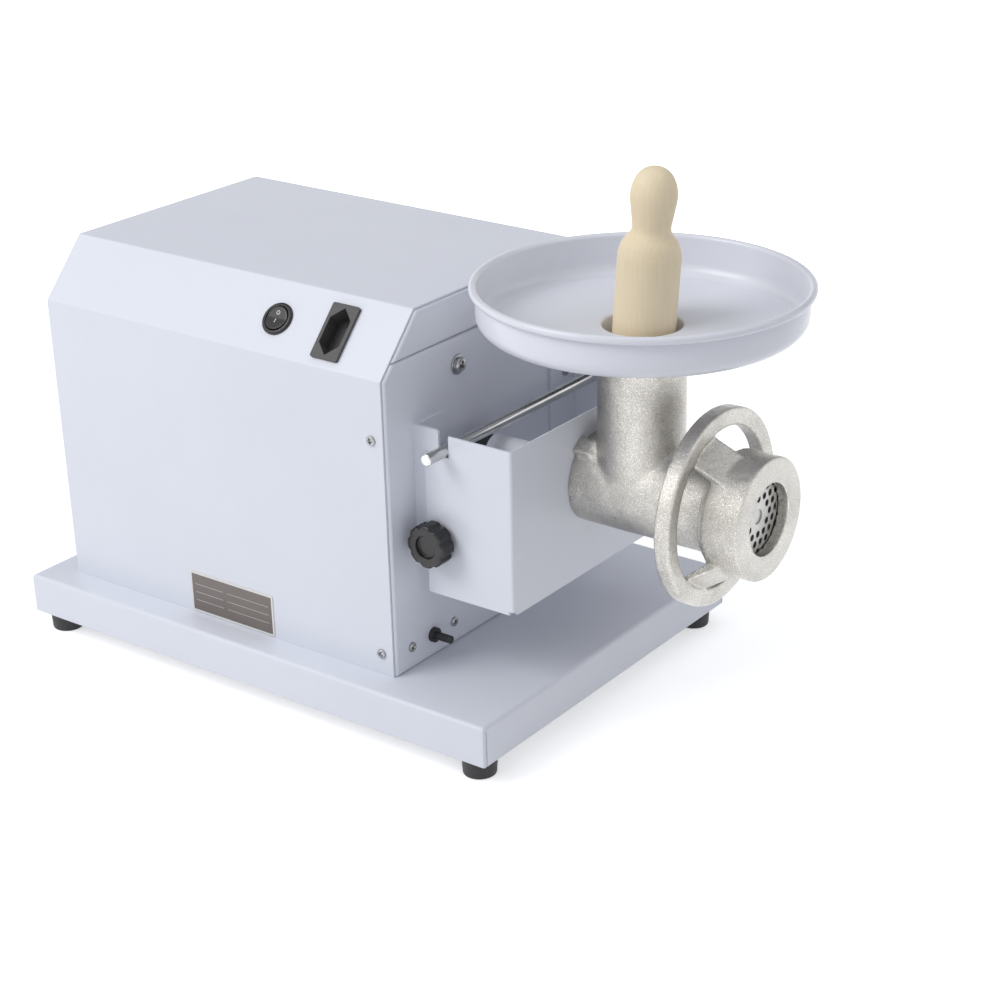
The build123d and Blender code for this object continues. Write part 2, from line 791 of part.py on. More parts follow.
with BuildPart() as pinion:
    with BuildSketch(Plane.YZ.offset(cover_right + pinion_start)):
        with Locations((pinion_y, pinion_z)):
            Circle(pinion_drum_radius)
    extrude(amount=pinion_drum)
    with BuildSketch(Plane.YZ.offset(teeth_start)):
        with Locations((pinion_y, pinion_z)):
            Polygon(*gear_outline(pinion_teeth, pinion_phase), align=None)
    extrude(amount=pinion_face)
    with BuildSketch(Plane.YZ.offset(cover_right + pinion_start)):
        with Locations((pinion_y, pinion_z)):
            Circle(countershaft_radius - 2)
    extrude(amount=pinion_drum + pinion_face, mode=Mode.SUBTRACT)
pinion.part.label = "pinion"

with BuildPart() as output_gear:
    with BuildSketch(Plane.YZ.offset(gear_rear)):
        with Locations((axis_y, axis_z)):
            Polygon(*gear_outline(gear_teeth, gear_phase), align=None)
            Circle(output_shaft_radius, mode=Mode.SUBTRACT)
            with PolarLocations(gear_hole_circle, 6):
                Circle(gear_hole_radius, mode=Mode.SUBTRACT)
    extrude(amount=gear_width)
output_gear.part.label = "output_gear"

# ---- Countershaft, its bearing frame and the belt reduction --------------------------------
pulley_rear = cover_right - countershaft_inboard + 6
with BuildPart() as countershaft:
    with BuildSketch(Plane.YZ.offset(cover_right - countershaft_inboard)):
        with Locations((pinion_y, pinion_z)):
            Circle(countershaft_radius)
    extrude(amount=countershaft_inboard + pinion_start)
    with BuildSketch(Plane.YZ.offset(cover_right + pinion_start)):
        with Locations((pinion_y, pinion_z)):
            Circle(countershaft_radius - 2)
    extrude(amount=pinion_drum + pinion_face + 2)
countershaft.part.label = "countershaft"

collar_start = panel_right + 4
with BuildPart() as shaft_collar:
    with BuildSketch(Plane.YZ.offset(collar_start)):
        with Locations((pinion_y, pinion_z)):
            Circle(collar_radius)
            Circle(countershaft_radius, mode=Mode.SUBTRACT)
    extrude(amount=cover_right + pinion_start - collar_start)
shaft_collar.part.label = "shaft_collar"

tube_front = frame_back
tube_rear = tube_front - tube_length
with BuildPart() as bearing_frame:
    with BuildSketch(Plane.YZ.offset(frame_back - frame_plate)):
        with Locations((axis_y, axis_z + (frame_screw_top - frame_screw_bottom) / 2)):
            Rectangle(
                2 * (frame_screw_half_pitch + frame_margin),
                frame_screw_top + frame_screw_bottom + 2 * frame_margin,
            )
    extrude(amount=frame_plate)
    with BuildSketch(Plane.YZ.offset(tube_rear)):
        with Locations((pinion_y, pinion_z)):
            Circle(tube_outer)
    extrude(amount=tube_length)
    with BuildSketch(Plane.YZ.offset(tube_rear)):
        with Locations((pinion_y, pinion_z)):
            Circle(bearing_outer)
    extrude(amount=tube_length, mode=Mode.SUBTRACT)
    with BuildSketch(Plane.YZ.offset(frame_back - frame_plate)):
        with Locations(*frame_screw_places):
            Circle(large_shank_radius)
    extrude(amount=frame_plate, mode=Mode.SUBTRACT)
bearing_frame.part.label = "bearing_frame"

with BuildPart() as counter_bearings:
    for rear in (tube_rear, tube_front - bearing_width):
        with BuildSketch(Plane.YZ.offset(rear)):
            with Locations((pinion_y, pinion_z)):
                Circle(bearing_outer)
                Circle(countershaft_radius + shaft_clearance, mode=Mode.SUBTRACT)
        extrude(amount=bearing_width)
counter_bearings.part.label = "counter_bearings"


def pulley_profile(radius):
    """Half section of a grooved pulley: x is the radius, y runs along the shaft."""
    groove = (pulley_width - belt_width) / 2 - slip_gap
    return [
        (0, 0),
        (radius + pulley_rim, 0),
        (radius + pulley_rim, groove),
        (radius, groove),
        (radius, pulley_width - groove),
        (radius + pulley_rim, pulley_width - groove),
        (radius + pulley_rim, pulley_width),
        (0, pulley_width),
    ]


def shaft_plane(x, y, z):
    """Plane across a shaft along +X: local x is a radius, local y runs along the shaft."""
    return Plane(origin=(x, y, z), x_dir=(0, 0, 1), z_dir=(0, 1, 0))


with BuildPart() as counter_pulley:
    with BuildSketch(shaft_plane(pulley_rear, pinion_y, pinion_z)):
        Polygon(*pulley_profile(counter_pulley_radius), align=None)
    revolve(axis=Axis((pulley_rear, pinion_y, pinion_z), (1, 0, 0)))
    with BuildSketch(Plane.YZ.offset(pulley_rear)):
        with Locations((pinion_y, pinion_z)):
            Circle(countershaft_radius)
            with PolarLocations(counter_pulley_radius * 0.6, 5):
                Circle(counter_pulley_radius * 0.2)
    extrude(amount=pulley_width, mode=Mode.SUBTRACT)
counter_pulley.part.label = "counter_pulley"

with BuildPart() as motor_pulley:
    with BuildSketch(shaft_plane(pulley_rear, motor_y, motor_z)):
        Polygon(*pulley_profile(motor_pulley_radius), align=None)
    revolve(axis=Axis((pulley_rear, motor_y, motor_z), (1, 0, 0)))
    with BuildSketch(Plane.YZ.offset(pulley_rear)):
        with Locations((motor_y, motor_z)):
            Circle(motor_shaft_radius)
    extrude(amount=pulley_width, mode=Mode.SUBTRACT)
motor_pulley.part.label = "motor_pulley"

belt_rear = pulley_rear + (pulley_width - belt_width) / 2
with BuildPart() as drive_belt:
    with BuildSketch(Plane.YZ.offset(belt_rear)):
        with BuildLine():
            CenterArc((pinion_y, pinion_z), counter_pulley_radius + slip_gap + belt_thickness, 0, 360)
            CenterArc((motor_y, motor_z), motor_pulley_radius + slip_gap + belt_thickness, 0, 360)
        make_hull()
    extrude(amount=belt_width)
    with BuildSketch(Plane.YZ.offset(belt_rear)):
        with BuildLine():
            CenterArc((pinion_y, pinion_z), counter_pulley_radius + slip_gap, 0, 360)
            CenterArc((motor_y, motor_z), motor_pulley_radius + slip_gap, 0, 360)
        make_hull()
    extrude(amount=belt_width, mode=Mode.SUBTRACT)
drive_belt.part.label = "drive_belt"

# ---- Motor -------------------------------------------------------------------------------
motor_front = cover_right - motor_from_right
motor_rear = cover_left + motor_room
motor_length = motor_front - motor_rear
rotor_length = motor_length - 2 * rotor_room
with BuildPart() as motor_shell:
    with BuildSketch(Plane.YZ.offset(motor_rear)):
        with Locations((motor_y, motor_z)):
            Circle(motor_radius)
            Circle(motor_radius - motor_wall, mode=Mode.SUBTRACT)
    extrude(amount=motor_length)
motor_shell.part.label = "motor_shell"

stator_rear = (motor_front + motor_rear - rotor_length) / 2
with BuildPart() as stator_core:
    with BuildSketch(Plane.YZ.offset(stator_rear)):
        with Locations((motor_y, motor_z)):
            Circle(motor_radius - motor_wall)
            Circle(stator_bore, mode=Mode.SUBTRACT)
            with PolarLocations(stator_bore + 7, stator_slots):
                SlotOverall(*stator_slot_size, mode=Mode.SUBTRACT)
    extrude(amount=rotor_length)
stator_core.part.label = "stator_core"

with BuildPart() as stator_windings:
    for rear in (stator_rear - winding_reach, stator_rear + rotor_length):
        with BuildSketch(Plane.YZ.offset(rear)):
            with Locations((motor_y, motor_z)):
                Circle(stator_bore + winding_gap + winding_width)
                Circle(stator_bore + winding_gap, mode=Mode.SUBTRACT)
        extrude(amount=winding_reach)
stator_windings.part.label = "stator_windings"

with BuildPart() as motor_bell_front:
    with BuildSketch(Plane.YZ.offset(motor_front)):
        with Locations((motor_y, motor_z)):
            Circle(motor_radius)
    extrude(amount=bell_thickness)
    with BuildSketch(Plane.YZ.offset(motor_front + bell_thickness)):
        with Locations((motor_y, motor_z)):
            Circle(bell_hub_radius)
    extrude(amount=bell_thickness / 2)
    with BuildSketch(Plane.YZ.offset(motor_front)):
        with Locations((motor_y, motor_z)):
            Circle(motor_shaft_radius + shaft_clearance)
            with PolarLocations(motor_radius * 0.66, 6):
                Circle(7)
    extrude(amount=bell_thickness * 2, mode=Mode.SUBTRACT)
motor_bell_front.part.label = "motor_bell_front"

with BuildPart() as motor_bell_rear:
    with BuildSketch(Plane.YZ.offset(motor_rear - bell_thickness)):
        with Locations((motor_y, motor_z)):
            Circle(motor_radius)
            Circle(motor_shaft_radius + shaft_clearance, mode=Mode.SUBTRACT)
            with PolarLocations(motor_radius * 0.66, 6):
                Circle(7, mode=Mode.SUBTRACT)
    extrude(amount=bell_thickness)
motor_bell_rear.part.label = "motor_bell_rear"

with BuildPart() as rotor_core:
    with BuildSketch(Plane.YZ.offset(stator_rear)):
        with Locations((motor_y, motor_z)):
            Circle(rotor_radius)
            Circle(motor_shaft_radius, mode=Mode.SUBTRACT)
    extrude(amount=rotor_length)
rotor_core.part.label = "rotor_core"

fan_rear = motor_rear - bell_thickness - 4 - fan_thickness
with BuildPart() as motor_shaft:
    with BuildSketch(Plane.YZ.offset(fan_rear)):
        with Locations((motor_y, motor_z)):
            Circle(motor_shaft_radius)
    extrude(amount=pulley_rear + pulley_width + 2 - fan_rear)
motor_shaft.part.label = "motor_shaft"

with BuildPart() as motor_fan:
    with BuildSketch(Plane.YZ.offset(fan_rear)):
        with Locations((motor_y, motor_z)):
            Circle(fan_radius)
    extrude(amount=2)
    with BuildSketch(Plane.YZ.offset(fan_rear)):
        with Locations((motor_y, motor_z)):
            Circle(motor_shaft_radius + 5)
            with PolarLocations((fan_radius + motor_shaft_radius + 3) / 2, fan_blades):
                Rectangle(fan_radius - motor_shaft_radius - 4, 2)
    extrude(amount=fan_thickness)
    with BuildSketch(Plane.YZ.offset(fan_rear)):
        with Locations((motor_y, motor_z)):
            Circle(motor_shaft_radius)
    extrude(amount=fan_thickness, mode=Mode.SUBTRACT)
motor_fan.part.label = "motor_fan"

fan_cover_rear = motor_rear - bell_thickness - fan_cover_depth
with BuildPart() as fan_cover:
    with BuildSketch(Plane.YZ.offset(fan_cover_rear)):
        with Locations((motor_y, motor_z)):
            Circle(motor_radius)
    extrude(amount=fan_cover_depth)
    with BuildSketch(Plane.YZ.offset(fan_cover_rear + fan_cover_wall)):
        with Locations((motor_y, motor_z)):
            Circle(motor_radius - fan_cover_wall)
    extrude(amount=fan_cover_depth - fan_cover_wall, mode=Mode.SUBTRACT)
    with BuildSketch(Plane.YZ.offset(fan_cover_rear)):
        with Locations((motor_y, motor_z)):
            with PolarLocations(motor_radius * 0.5, 10):
                SlotOverall(motor_radius * 0.45, 5)
    extrude(amount=fan_cover_wall, mode=Mode.SUBTRACT)
fan_cover.part.label = "fan_cover"

motor_middle = (motor_front + motor_rear) / 2
base_bolt_places = [
    (motor_middle + along * (saddle_length / 2 - 12), motor_y + across * (saddle_width + saddle_flange) / 2)
    for along in (-1, 1)
    for across in (-1, 1)
]
with BuildPart() as motor_base:
    with BuildSketch(Plane.XY.offset(base_top)):
        with Locations((motor_middle, motor_y)):
            Rectangle(saddle_length, saddle_width + 2 * saddle_flange)
    extrude(amount=saddle_plate)
    with BuildSketch(Plane.XY.offset(base_top)):
        with Locations((motor_middle, motor_y)):
            Rectangle(saddle_length, saddle_width)
    extrude(amount=saddle_rise + saddle_plate)
    with BuildSketch(Plane.YZ.offset(motor_middle - saddle_length / 2)):
        with Locations((motor_y, motor_z)):
            Circle(motor_radius)
    extrude(amount=saddle_length, mode=Mode.SUBTRACT)
    with BuildSketch(Plane.XY.offset(base_top)):
        with Locations(*base_bolt_places):
            Circle(large_shank_radius)
    extrude(amount=saddle_plate, mode=Mode.SUBTRACT)
motor_base.part.label = "motor_base"

with BuildPart() as motor_base_bolts:
    with BuildSketch(Plane.XY.offset(base_top + saddle_plate)):
        with Locations(*base_bolt_places):
            RegularPolygon(large_head_radius, 6)
    extrude(amount=large_head_height)
    with BuildSketch(Plane.XY.offset(base_top + saddle_plate)):
        with Locations(*base_bolt_places):
            Circle(large_shank_radius)
    extrude(amount=-saddle_plate)
motor_base_bolts.part.label = "motor_base_bolts"

with BuildPart() as capacitor:
    with BuildSketch(Plane.XY.offset(base_top)):
        with Locations((cover_left + capacitor_place[0], cover_front + capacitor_place[1])):
            Circle(capacitor_radius)
    extrude(amount=capacitor_length)
    fillet(capacitor.edges().sort_by(Axis.Z)[-1], 2)
capacitor.part.label = "capacitor"

with BuildPart() as terminal_block:
    with BuildSketch(Plane.XY.offset(base_top)):
        with Locations((cover_left + terminal_place[0], cover_front + terminal_place[1])):
            Rectangle(terminal_size[0], terminal_size[1])
    extrude(amount=terminal_size[2])
    with BuildSketch(Plane.XY.offset(base_top + terminal_size[2])):
        with Locations((cover_left + terminal_place[0], cover_front + terminal_place[1])):
            with GridLocations(*terminal_pitch, 4, 2):
                Circle(terminal_bore)
    extrude(amount=-terminal_size[2] / 2, mode=Mode.SUBTRACT)
terminal_block.part.label = "terminal_block"

# ---- Holder brackets: L-shaped, with an open notch for the rod -----------------------------
holder_outer = box_half_width - box_sheet - holder_gap
rod_x = cover_right + rod_from_housing
rod_z = base_top + rod_height
knob_x = cover_right + knob_from_housing
knob_z = base_top + knob_height


def holder_bracket(side):
    """One bracket; side is -1 for the switch side and 1 for the far side."""
    outer = axis_y + side * holder_outer
    inner = outer - side * holder_gauge
    with BuildPart() as bracket:
        with BuildSketch(Plane.XZ.offset(-max(outer, inner))):
            with BuildLine():
                FilletPolyline(
                    (panel_right, base_top + holder_bottom),
                    (cover_right + holder_reach, base_top + holder_bottom),
                    (cover_right + holder_reach, base_top + box_top - 4),
                    (rod_x + notch_half_width, base_top + box_top - 4),
                    (rod_x + notch_half_width, rod_z - rod_radius),
                    (rod_x - notch_half_width, rod_z - rod_radius),
                    (rod_x - notch_half_width, base_top + holder_top),
                    (panel_right, base_top + holder_top),
                    radius=2.5,
                )
                Line((panel_right, base_top + holder_top), (panel_right, base_top + holder_bottom))
            make_face()
            with Locations((knob_x, knob_z)):
                Circle(stud_radius + slip_gap, mode=Mode.SUBTRACT)
        extrude(amount=holder_gauge)
        with BuildSketch(Plane.YZ.offset(panel_right)):
            with Locations((outer - side * holder_web / 2, base_top + (holder_bottom + holder_top) / 2)):
                Rectangle(holder_web, holder_top - holder_bottom)
            with Locations(*holder_screws):
                Circle(small_shank_radius, mode=Mode.SUBTRACT)
        extrude(amount=holder_gauge)
    return bracket.part


holder_near_part = holder_bracket(-1)
holder_near_part.label = "holder_near"
holder_far_part = holder_bracket(1)
holder_far_part.label = "holder_far"

# ---- Drive box: a U of sheet open above, below and behind ----------------------------------
box_back = cover_right + box_back_gap
with BuildPart() as drive_box:
    with BuildSketch(Plane.XY.offset(base_top + box_bottom)):
        with BuildLine():
            FilletPolyline(
                (box_back, box_near),
                (box_front, box_near),
                (box_front, box_far),
                (box_back, box_far),
                radius=box_bend,
            )
            offset(amount=box_sheet, side=Side.LEFT)
        make_face()
    extrude(amount=box_top - box_bottom)
    # step in the top rear corners that the rod is welded into
    with BuildSketch(Plane.XZ.offset(-box_far - 1)):
        with Locations((rod_x + rod_radius, rod_z - rod_radius)):
            Rectangle(rod_from_housing, box_top, align=(Align.MAX, Align.MIN))
    extrude(amount=2 * box_half_width + 2, mode=Mode.SUBTRACT)
    # round relief at the foot of each bend
    with BuildSketch(Plane.XY.offset(base_top + box_bottom)):
        with Locations((box_front, box_near), (box_front, box_far)):
            Circle(2 * box_bend)
    extrude(amount=2.5, mode=Mode.SUBTRACT)
    with BuildSketch(Plane.XZ.offset(-box_far - 1)):
        with Locations((knob_x, knob_z)):
            Circle(stud_radius + slip_gap)
    extrude(amount=2 * box_half_width + 2, mode=Mode.SUBTRACT)
    with BuildSketch(Plane.YZ.offset(box_inner_front)):
        with Locations((axis_y, axis_z)):
            Circle(output_shaft_radius + 4)
            with PolarLocations(head_bolt_circle, 4, start_angle=45):
                Circle(head_bolt_radius + hole_slack)
    extrude(amount=box_sheet, mode=Mode.SUBTRACT)
drive_box.part.label = "drive_box"

with BuildPart() as hang_rod:
    with BuildSketch(Plane.XZ.offset(-box_far - rod_overhang)):
        with Locations((rod_x, rod_z)):
            Circle(rod_radius)
    extrude(amount=2 * box_half_width + 2 * rod_overhang)
    chamfer(hang_rod.edges(), 0.5)
hang_rod.part.label = "hang_rod"

knob_back = box_near - knob_standoff
with BuildPart() as clamp_knob:
    with BuildSketch(Plane.XZ.offset(-knob_back)):
        with Locations((knob_x, knob_z)):
            Circle(knob_radius)
            with PolarLocations(knob_radius + knob_flute_radius - knob_flute_depth, knob_lobes):
                Circle(knob_flute_radius, mode=Mode.SUBTRACT)
    extrude(amount=knob_depth)
    with BuildSketch(Plane.XZ.offset(-knob_back + knob_depth)):
        with Locations((knob_x, knob_z)):
            Circle(knob_recess_radius)
    extrude(amount=-knob_recess_depth, mode=Mode.SUBTRACT)
    with BuildSketch(Plane.XZ.offset(-knob_back)):
        with Locations((knob_x, knob_z)):
            Circle(stud_radius + shaft_clearance)
    extrude(amount=knob_depth / 2, mode=Mode.SUBTRACT)
clamp_knob.part.label = "clamp_knob"

with BuildPart() as knob_stud:
    with BuildSketch(Plane.XZ.offset(-knob_back + knob_depth / 2)):
        with Locations((knob_x, knob_z)):
            Circle(stud_radius)
    extrude(amount=-knob_depth / 2 - stud_reach)
knob_stud.part.label = "knob_stud"

weld_nut_y = axis_y - holder_outer + holder_gauge
with BuildPart() as weld_nut:
    with BuildSketch(Plane.XZ.offset(-weld_nut_y)):
        with Locations((knob_x, knob_z)):
            RegularPolygon(2 * stud_radius, 6)
            Circle(stud_radius + shaft_clearance, mode=Mode.SUBTRACT)
    extrude(amount=-5)
weld_nut.part.label = "weld_nut"

# ---- Bearing housing, bearings and output shaft --------------------------------------------
with BuildPart() as bearing_housing:
    with BuildSketch(Plane.YZ.offset(box_inner_front - housing_flange)):
        with Locations((axis_y, axis_z)):
            Circle(housing_flange_radius)
    extrude(amount=housing_flange)
    with BuildSketch(Plane.YZ.offset(barrel_rear)):
        with Locations((axis_y, axis_z)):
            Circle(housing_barrel_radius)
    extrude(amount=box_inner_front - barrel_rear)
    with BuildSketch(Plane.YZ.offset(barrel_rear)):
        with Locations((axis_y, axis_z)):
            Circle(output_bearing_outer)
    extrude(amount=box_inner_front - barrel_rear, mode=Mode.SUBTRACT)
    with BuildSketch(Plane.YZ.offset(box_inner_front - housing_flange)):
        with Locations((axis_y, axis_z)):
            with PolarLocations(head_bolt_circle, 4, start_angle=45):
                Circle(head_bolt_radius)
    extrude(amount=housing_flange, mode=Mode.SUBTRACT)
bearing_housing.part.label = "bearing_housing"

with BuildPart() as output_bearings:
    for rear in (barrel_rear, box_inner_front - output_bearing_width):
        with BuildSketch(Plane.YZ.offset(rear)):
            with Locations((axis_y, axis_z)):
                Circle(output_bearing_outer)
                Circle(output_shaft_radius + shaft_clearance, mode=Mode.SUBTRACT)
        extrude(amount=output_bearing_width)
output_bearings.part.label = "output_bearings"

with BuildPart() as head_bolts:
    with BuildSketch(Plane.YZ.offset(box_inner_front - housing_flange - head_bolt_head_height)):
        with Locations((axis_y, axis_z)):
            with PolarLocations(head_bolt_circle, 4, start_angle=45):
                RegularPolygon(head_bolt_head, 6)
    extrude(amount=head_bolt_head_height)
    with BuildSketch(Plane.YZ.offset(box_inner_front - housing_flange)):
        with Locations((axis_y, axis_z)):
            with PolarLocations(head_bolt_circle, 4, start_angle=45):
                Circle(head_bolt_radius)
    extrude(amount=housing_flange + box_sheet + head_flange - 1)
head_bolts.part.label = "head_bolts"

auger_rear = box_front + 4.0
with BuildPart() as output_shaft:
    with BuildSketch(Plane.YZ.offset(output_rear)):
        with Locations((axis_y, axis_z)):
            Circle(output_shaft_radius)
    extrude(amount=auger_rear - slip_gap - output_rear)
    with BuildSketch(Plane.YZ.offset(auger_rear - slip_gap)):
        with Locations((axis_y, axis_z)):
            Rectangle(drive_square, drive_square)
    extrude(amount=coupling_tip - auger_rear)
output_shaft.part.label = "output_shaft"

# ---- Head casting --------------------------------------------------------------------------
neck_x = box_front + neck_from_box
nut_rear = nose - nut_length
lip_rear = nose - nut_lip
plate_front = lip_rear - cutter_gap
plate_rear = plate_front - cutter_plate_thickness
knife_front = plate_rear - cutter_gap
knife_rear = knife_front - knife_thickness
flight_front = knife_rear - 1.0
casting_front = plate_front - 3.5
collar_rear = casting_front - collar_length
rim_front = nut_rear - rim_setback
rim_rear = rim_front - rim_width
bore_rear = box_front + head_flange + 5
neck_top_z = base_top + neck_top
with BuildPart() as head_casting:
    with BuildSketch(Plane.YZ.offset(box_front)):
        with Locations((axis_y, axis_z)):
            with PolarLocations(
                ear_reach / 2 + 6,
                2,
                start_angle=90 - ear_angle,
                angular_range=2 * ear_angle,
                endpoint=True,
            ):
                Rectangle(ear_reach - 6, ear_width)
    extrude(amount=ear_length)
    with BuildSketch(Plane.YZ.offset(box_front)):
        with Locations((axis_y, axis_z)):
            Circle(barrel_radius)
    extrude(amount=collar_rear - box_front)
    with BuildSketch(Plane.YZ.offset(collar_rear)):
        with Locations((axis_y, axis_z)):
            Circle(collar_thread_radius)
    extrude(amount=collar_length)
    with BuildSketch(Plane.XY.offset(axis_z)):
        with Locations((neck_x, axis_y)):
            Circle(neck_radius)
    extrude(amount=neck_top_z - axis_z)
    # screw chamber, knife and plate bore, rear bush seat, throat and pan socket
    with BuildSketch(Plane.YZ.offset(bore_rear)):
        with Locations((axis_y, axis_z)):
            Circle(barrel_bore)
    extrude(amount=casting_front - bore_rear, mode=Mode.SUBTRACT)
    with BuildSketch(Plane.YZ.offset(knife_rear - 0.6)):
        with Locations((axis_y, axis_z)):
            Circle(cutter_plate_radius + slip_gap)
    extrude(amount=casting_front - knife_rear + 0.6, mode=Mode.SUBTRACT)
    with BuildSketch(Plane.YZ.offset(box_front)):
        with Locations((axis_y, axis_z)):
            Circle(bush_outer)
            with PolarLocations(head_bolt_circle, 4, start_angle=45):
                Circle(head_bolt_radius)
    extrude(amount=head_flange - 1, mode=Mode.SUBTRACT)
    with BuildSketch(Plane.YZ.offset(box_front)):
        with Locations((axis_y, axis_z)):
            Circle(bush_outer)
    extrude(amount=bore_rear - box_front, mode=Mode.SUBTRACT)
    with BuildSketch(Plane.XY.offset(axis_z)):
        with Locations((neck_x, axis_y)):
            Circle(neck_bore)
    extrude(amount=neck_top_z - axis_z, mode=Mode.SUBTRACT)
    with BuildSketch(Plane.XY.offset(neck_top_z - socket_depth)):
        with Locations((neck_x, axis_y)):
            Circle(socket_radius)
    extrude(amount=socket_depth, mode=Mode.SUBTRACT)
head_casting.part.label = "head_casting"

with BuildPart() as rear_bush:
    with BuildSketch(Plane.YZ.offset(box_front + bush_back)):
        with Locations((axis_y, axis_z)):
            Circle(bush_outer)
            Circle(auger_journal + shaft_clearance, mode=Mode.SUBTRACT)
    extrude(amount=bush_length)
rear_bush.part.label = "rear_bush"

# ---- Auger: core, helical flight, square socket behind and knife square in front ------------
flight_rear = bore_rear + 1.0
flight_length = flight_front - flight_rear
flight_pitch = flight_length / auger_turns
flight_middle = (auger_radius + auger_core - 2) / 2
flight_path = Helix(
    pitch=flight_pitch,
    height=flight_length - flight_thickness - 1,
    radius=flight_middle,
    center=(flight_rear + flight_thickness / 2 + 0.5, axis_y, axis_z),
    direction=(1, 0, 0),
)
flight_start = flight_path @ 0
flight_plane = Plane(
    origin=flight_start,
    x_dir=Vector(0, flight_start.Y - axis_y, flight_start.Z - axis_z),
    z_dir=flight_path % 0,
)
with BuildPart() as auger:
    with BuildSketch(Plane.YZ.offset(flight_rear)):
        with Locations((axis_y, axis_z)):
            Circle(auger_core)
    extrude(amount=flight_length)
    with BuildSketch(Plane.YZ.offset(auger_rear)):
        with Locations((axis_y, axis_z)):
            Circle(auger_journal)
    extrude(amount=coupling_tip + 4 - auger_rear)
    with BuildSketch(Plane.YZ.offset(flight_front)):
        with Locations((axis_y, axis_z)):
            Rectangle(knife_square, knife_square)
    extrude(amount=knife_front - flight_front)
    with BuildSketch(Plane.YZ.offset(knife_front)):
        with Locations((axis_y, axis_z)):
            Circle(knife_pin)
    extrude(amount=cutter_gap + cutter_plate_thickness - 1)
    with BuildLine():
        add(flight_path)
    with BuildSketch(flight_plane):
        Rectangle(auger_radius - auger_core + 2, flight_thickness)
    sweep(is_frenet=True)
    with BuildSketch(Plane.YZ.offset(auger_rear)):
        with Locations((axis_y, axis_z)):
            Rectangle(drive_square + 0.2, drive_square + 0.2)
    extrude(amount=coupling_tip - auger_rear + 0.2, mode=Mode.SUBTRACT)
auger.part.label = "auger"

with BuildPart() as knife:
    with BuildSketch(Plane.YZ.offset(knife_rear)):
        with Locations((axis_y, axis_z)):
            Circle(knife_radius * 0.42)
            Rectangle(2 * knife_radius * 0.96, knife_arm)
            Rectangle(knife_arm, 2 * knife_radius * 0.96)
            Rectangle(knife_square + 0.2, knife_square + 0.2, mode=Mode.SUBTRACT)
    extrude(amount=knife_thickness)
knife.part.label = "knife"

row_count = int(plate_hole_field / (plate_hole_pitch * sin(radians(60))))
plate_holes = []
for row in range(-row_count, row_count + 1):
    row_rise = row * plate_hole_pitch * sin(radians(60))
    for column in range(-8, 9):
        along = (column + (row % 2) / 2) * plate_hole_pitch
        reach = hypot(along, row_rise)
        if knife_pin + plate_hole_radius + 2 < reach < plate_hole_field:
            plate_holes.append((along, row_rise))

with BuildPart() as perforated_plate:
    with BuildSketch(Plane.YZ.offset(plate_rear)):
        with Locations((axis_y, axis_z)):
            Circle(cutter_plate_radius)
            Circle(knife_pin + shaft_clearance, mode=Mode.SUBTRACT)
            with Locations(*plate_holes):
                Circle(plate_hole_radius, mode=Mode.SUBTRACT)
    extrude(amount=cutter_plate_thickness)
perforated_plate.part.label = "perforated_plate"

# ---- Ring nut: threaded hub, large grip rim and three spokes -------------------------
with BuildPart() as ring_nut:
    with BuildSketch(Plane.YZ.offset(nut_rear)):
        with Locations((axis_y, axis_z)):
            Circle(nut_radius)
    extrude(amount=nut_length)
    fillet(ring_nut.faces().sort_by(Axis.X)[-1].edges(), 1.2)
    with BuildSketch(Plane.YZ.offset(rim_rear)):
        with Locations((axis_y, axis_z)):
            Circle(rim_outer)
            Circle(rim_inner, mode=Mode.SUBTRACT)
    extrude(amount=rim_width)
    fillet(
        ring_nut.edges().filter_by(GeomType.CIRCLE).filter_by(lambda edge: edge.radius > rim_inner - 1), 1.2
    )
    # each spoke slopes from the rim up to the rear of the hub
    for turn in (spoke_angle, spoke_angle + 120, spoke_angle + 240):
        radial = Vector(0, cos(radians(turn)), sin(radians(turn)))
        across = Vector(0, -sin(radians(turn)), cos(radians(turn)))
        start = Vector(0, axis_y, axis_z) - across * (spoke_width / 2)
        with BuildSketch(Plane(origin=start, x_dir=(1, 0, 0), z_dir=across)):
            with BuildLine():
                hub_side = nut_radius - 2
                rim_side = rim_inner + 3
                Polyline(
                    (nut_rear + 0.5, hub_side),
                    (nut_rear + 11, hub_side),
                    (rim_front - 8, rim_side),
                    (rim_rear + 0.2, rim_side),
                    close=True,
                )
            make_face()
        extrude(amount=spoke_width)
    with BuildSketch(Plane.YZ.offset(rim_rear - 1)):
        with Locations((axis_y, axis_z)):
            Circle(collar_thread_radius + thread_slack)
    extrude(amount=lip_rear - rim_rear + 1, mode=Mode.SUBTRACT)
    with BuildSketch(Plane.YZ.offset(lip_rear)):
        with Locations((axis_y, axis_z)):
            Circle(nut_opening)
    extrude(amount=nut_lip, mode=Mode.SUBTRACT)
ring_nut.part.label = "ring_nut"

# ---- Feed pan: spun sheet with a rolled bead and a spigot -----------------------------------
pan_floor = neck_top_z
bead_z = pan_floor + pan_height
with BuildPart() as feed_pan:
    with BuildSketch(Plane(origin=(neck_x, axis_y, 0), x_dir=(1, 0, 0), z_dir=(0, -1, 0))):
        with BuildLine():
            Polyline(
                (pan_hole, pan_floor - spigot_length),
                (pan_hole, pan_floor + pan_sheet),
                (pan_foot_radius, pan_floor + pan_sheet),
                (pan_wall_radius - pan_sheet, pan_floor + 7),
                (pan_wall_radius - pan_sheet, bead_z),
                (pan_wall_radius, bead_z),
                (pan_wall_radius, pan_floor + 6),
                (pan_foot_radius + 0.6, pan_floor),
                (pan_hole + spigot_wall, pan_floor),
                (pan_hole + spigot_wall, pan_floor - spigot_length),
                close=True,
            )
        make_face()
        with Locations((pan_wall_radius + pan_bead - pan_sheet, bead_z)):
            Circle(pan_bead)
    revolve(axis=Axis((neck_x, axis_y, 0), (0, 0, 1)))
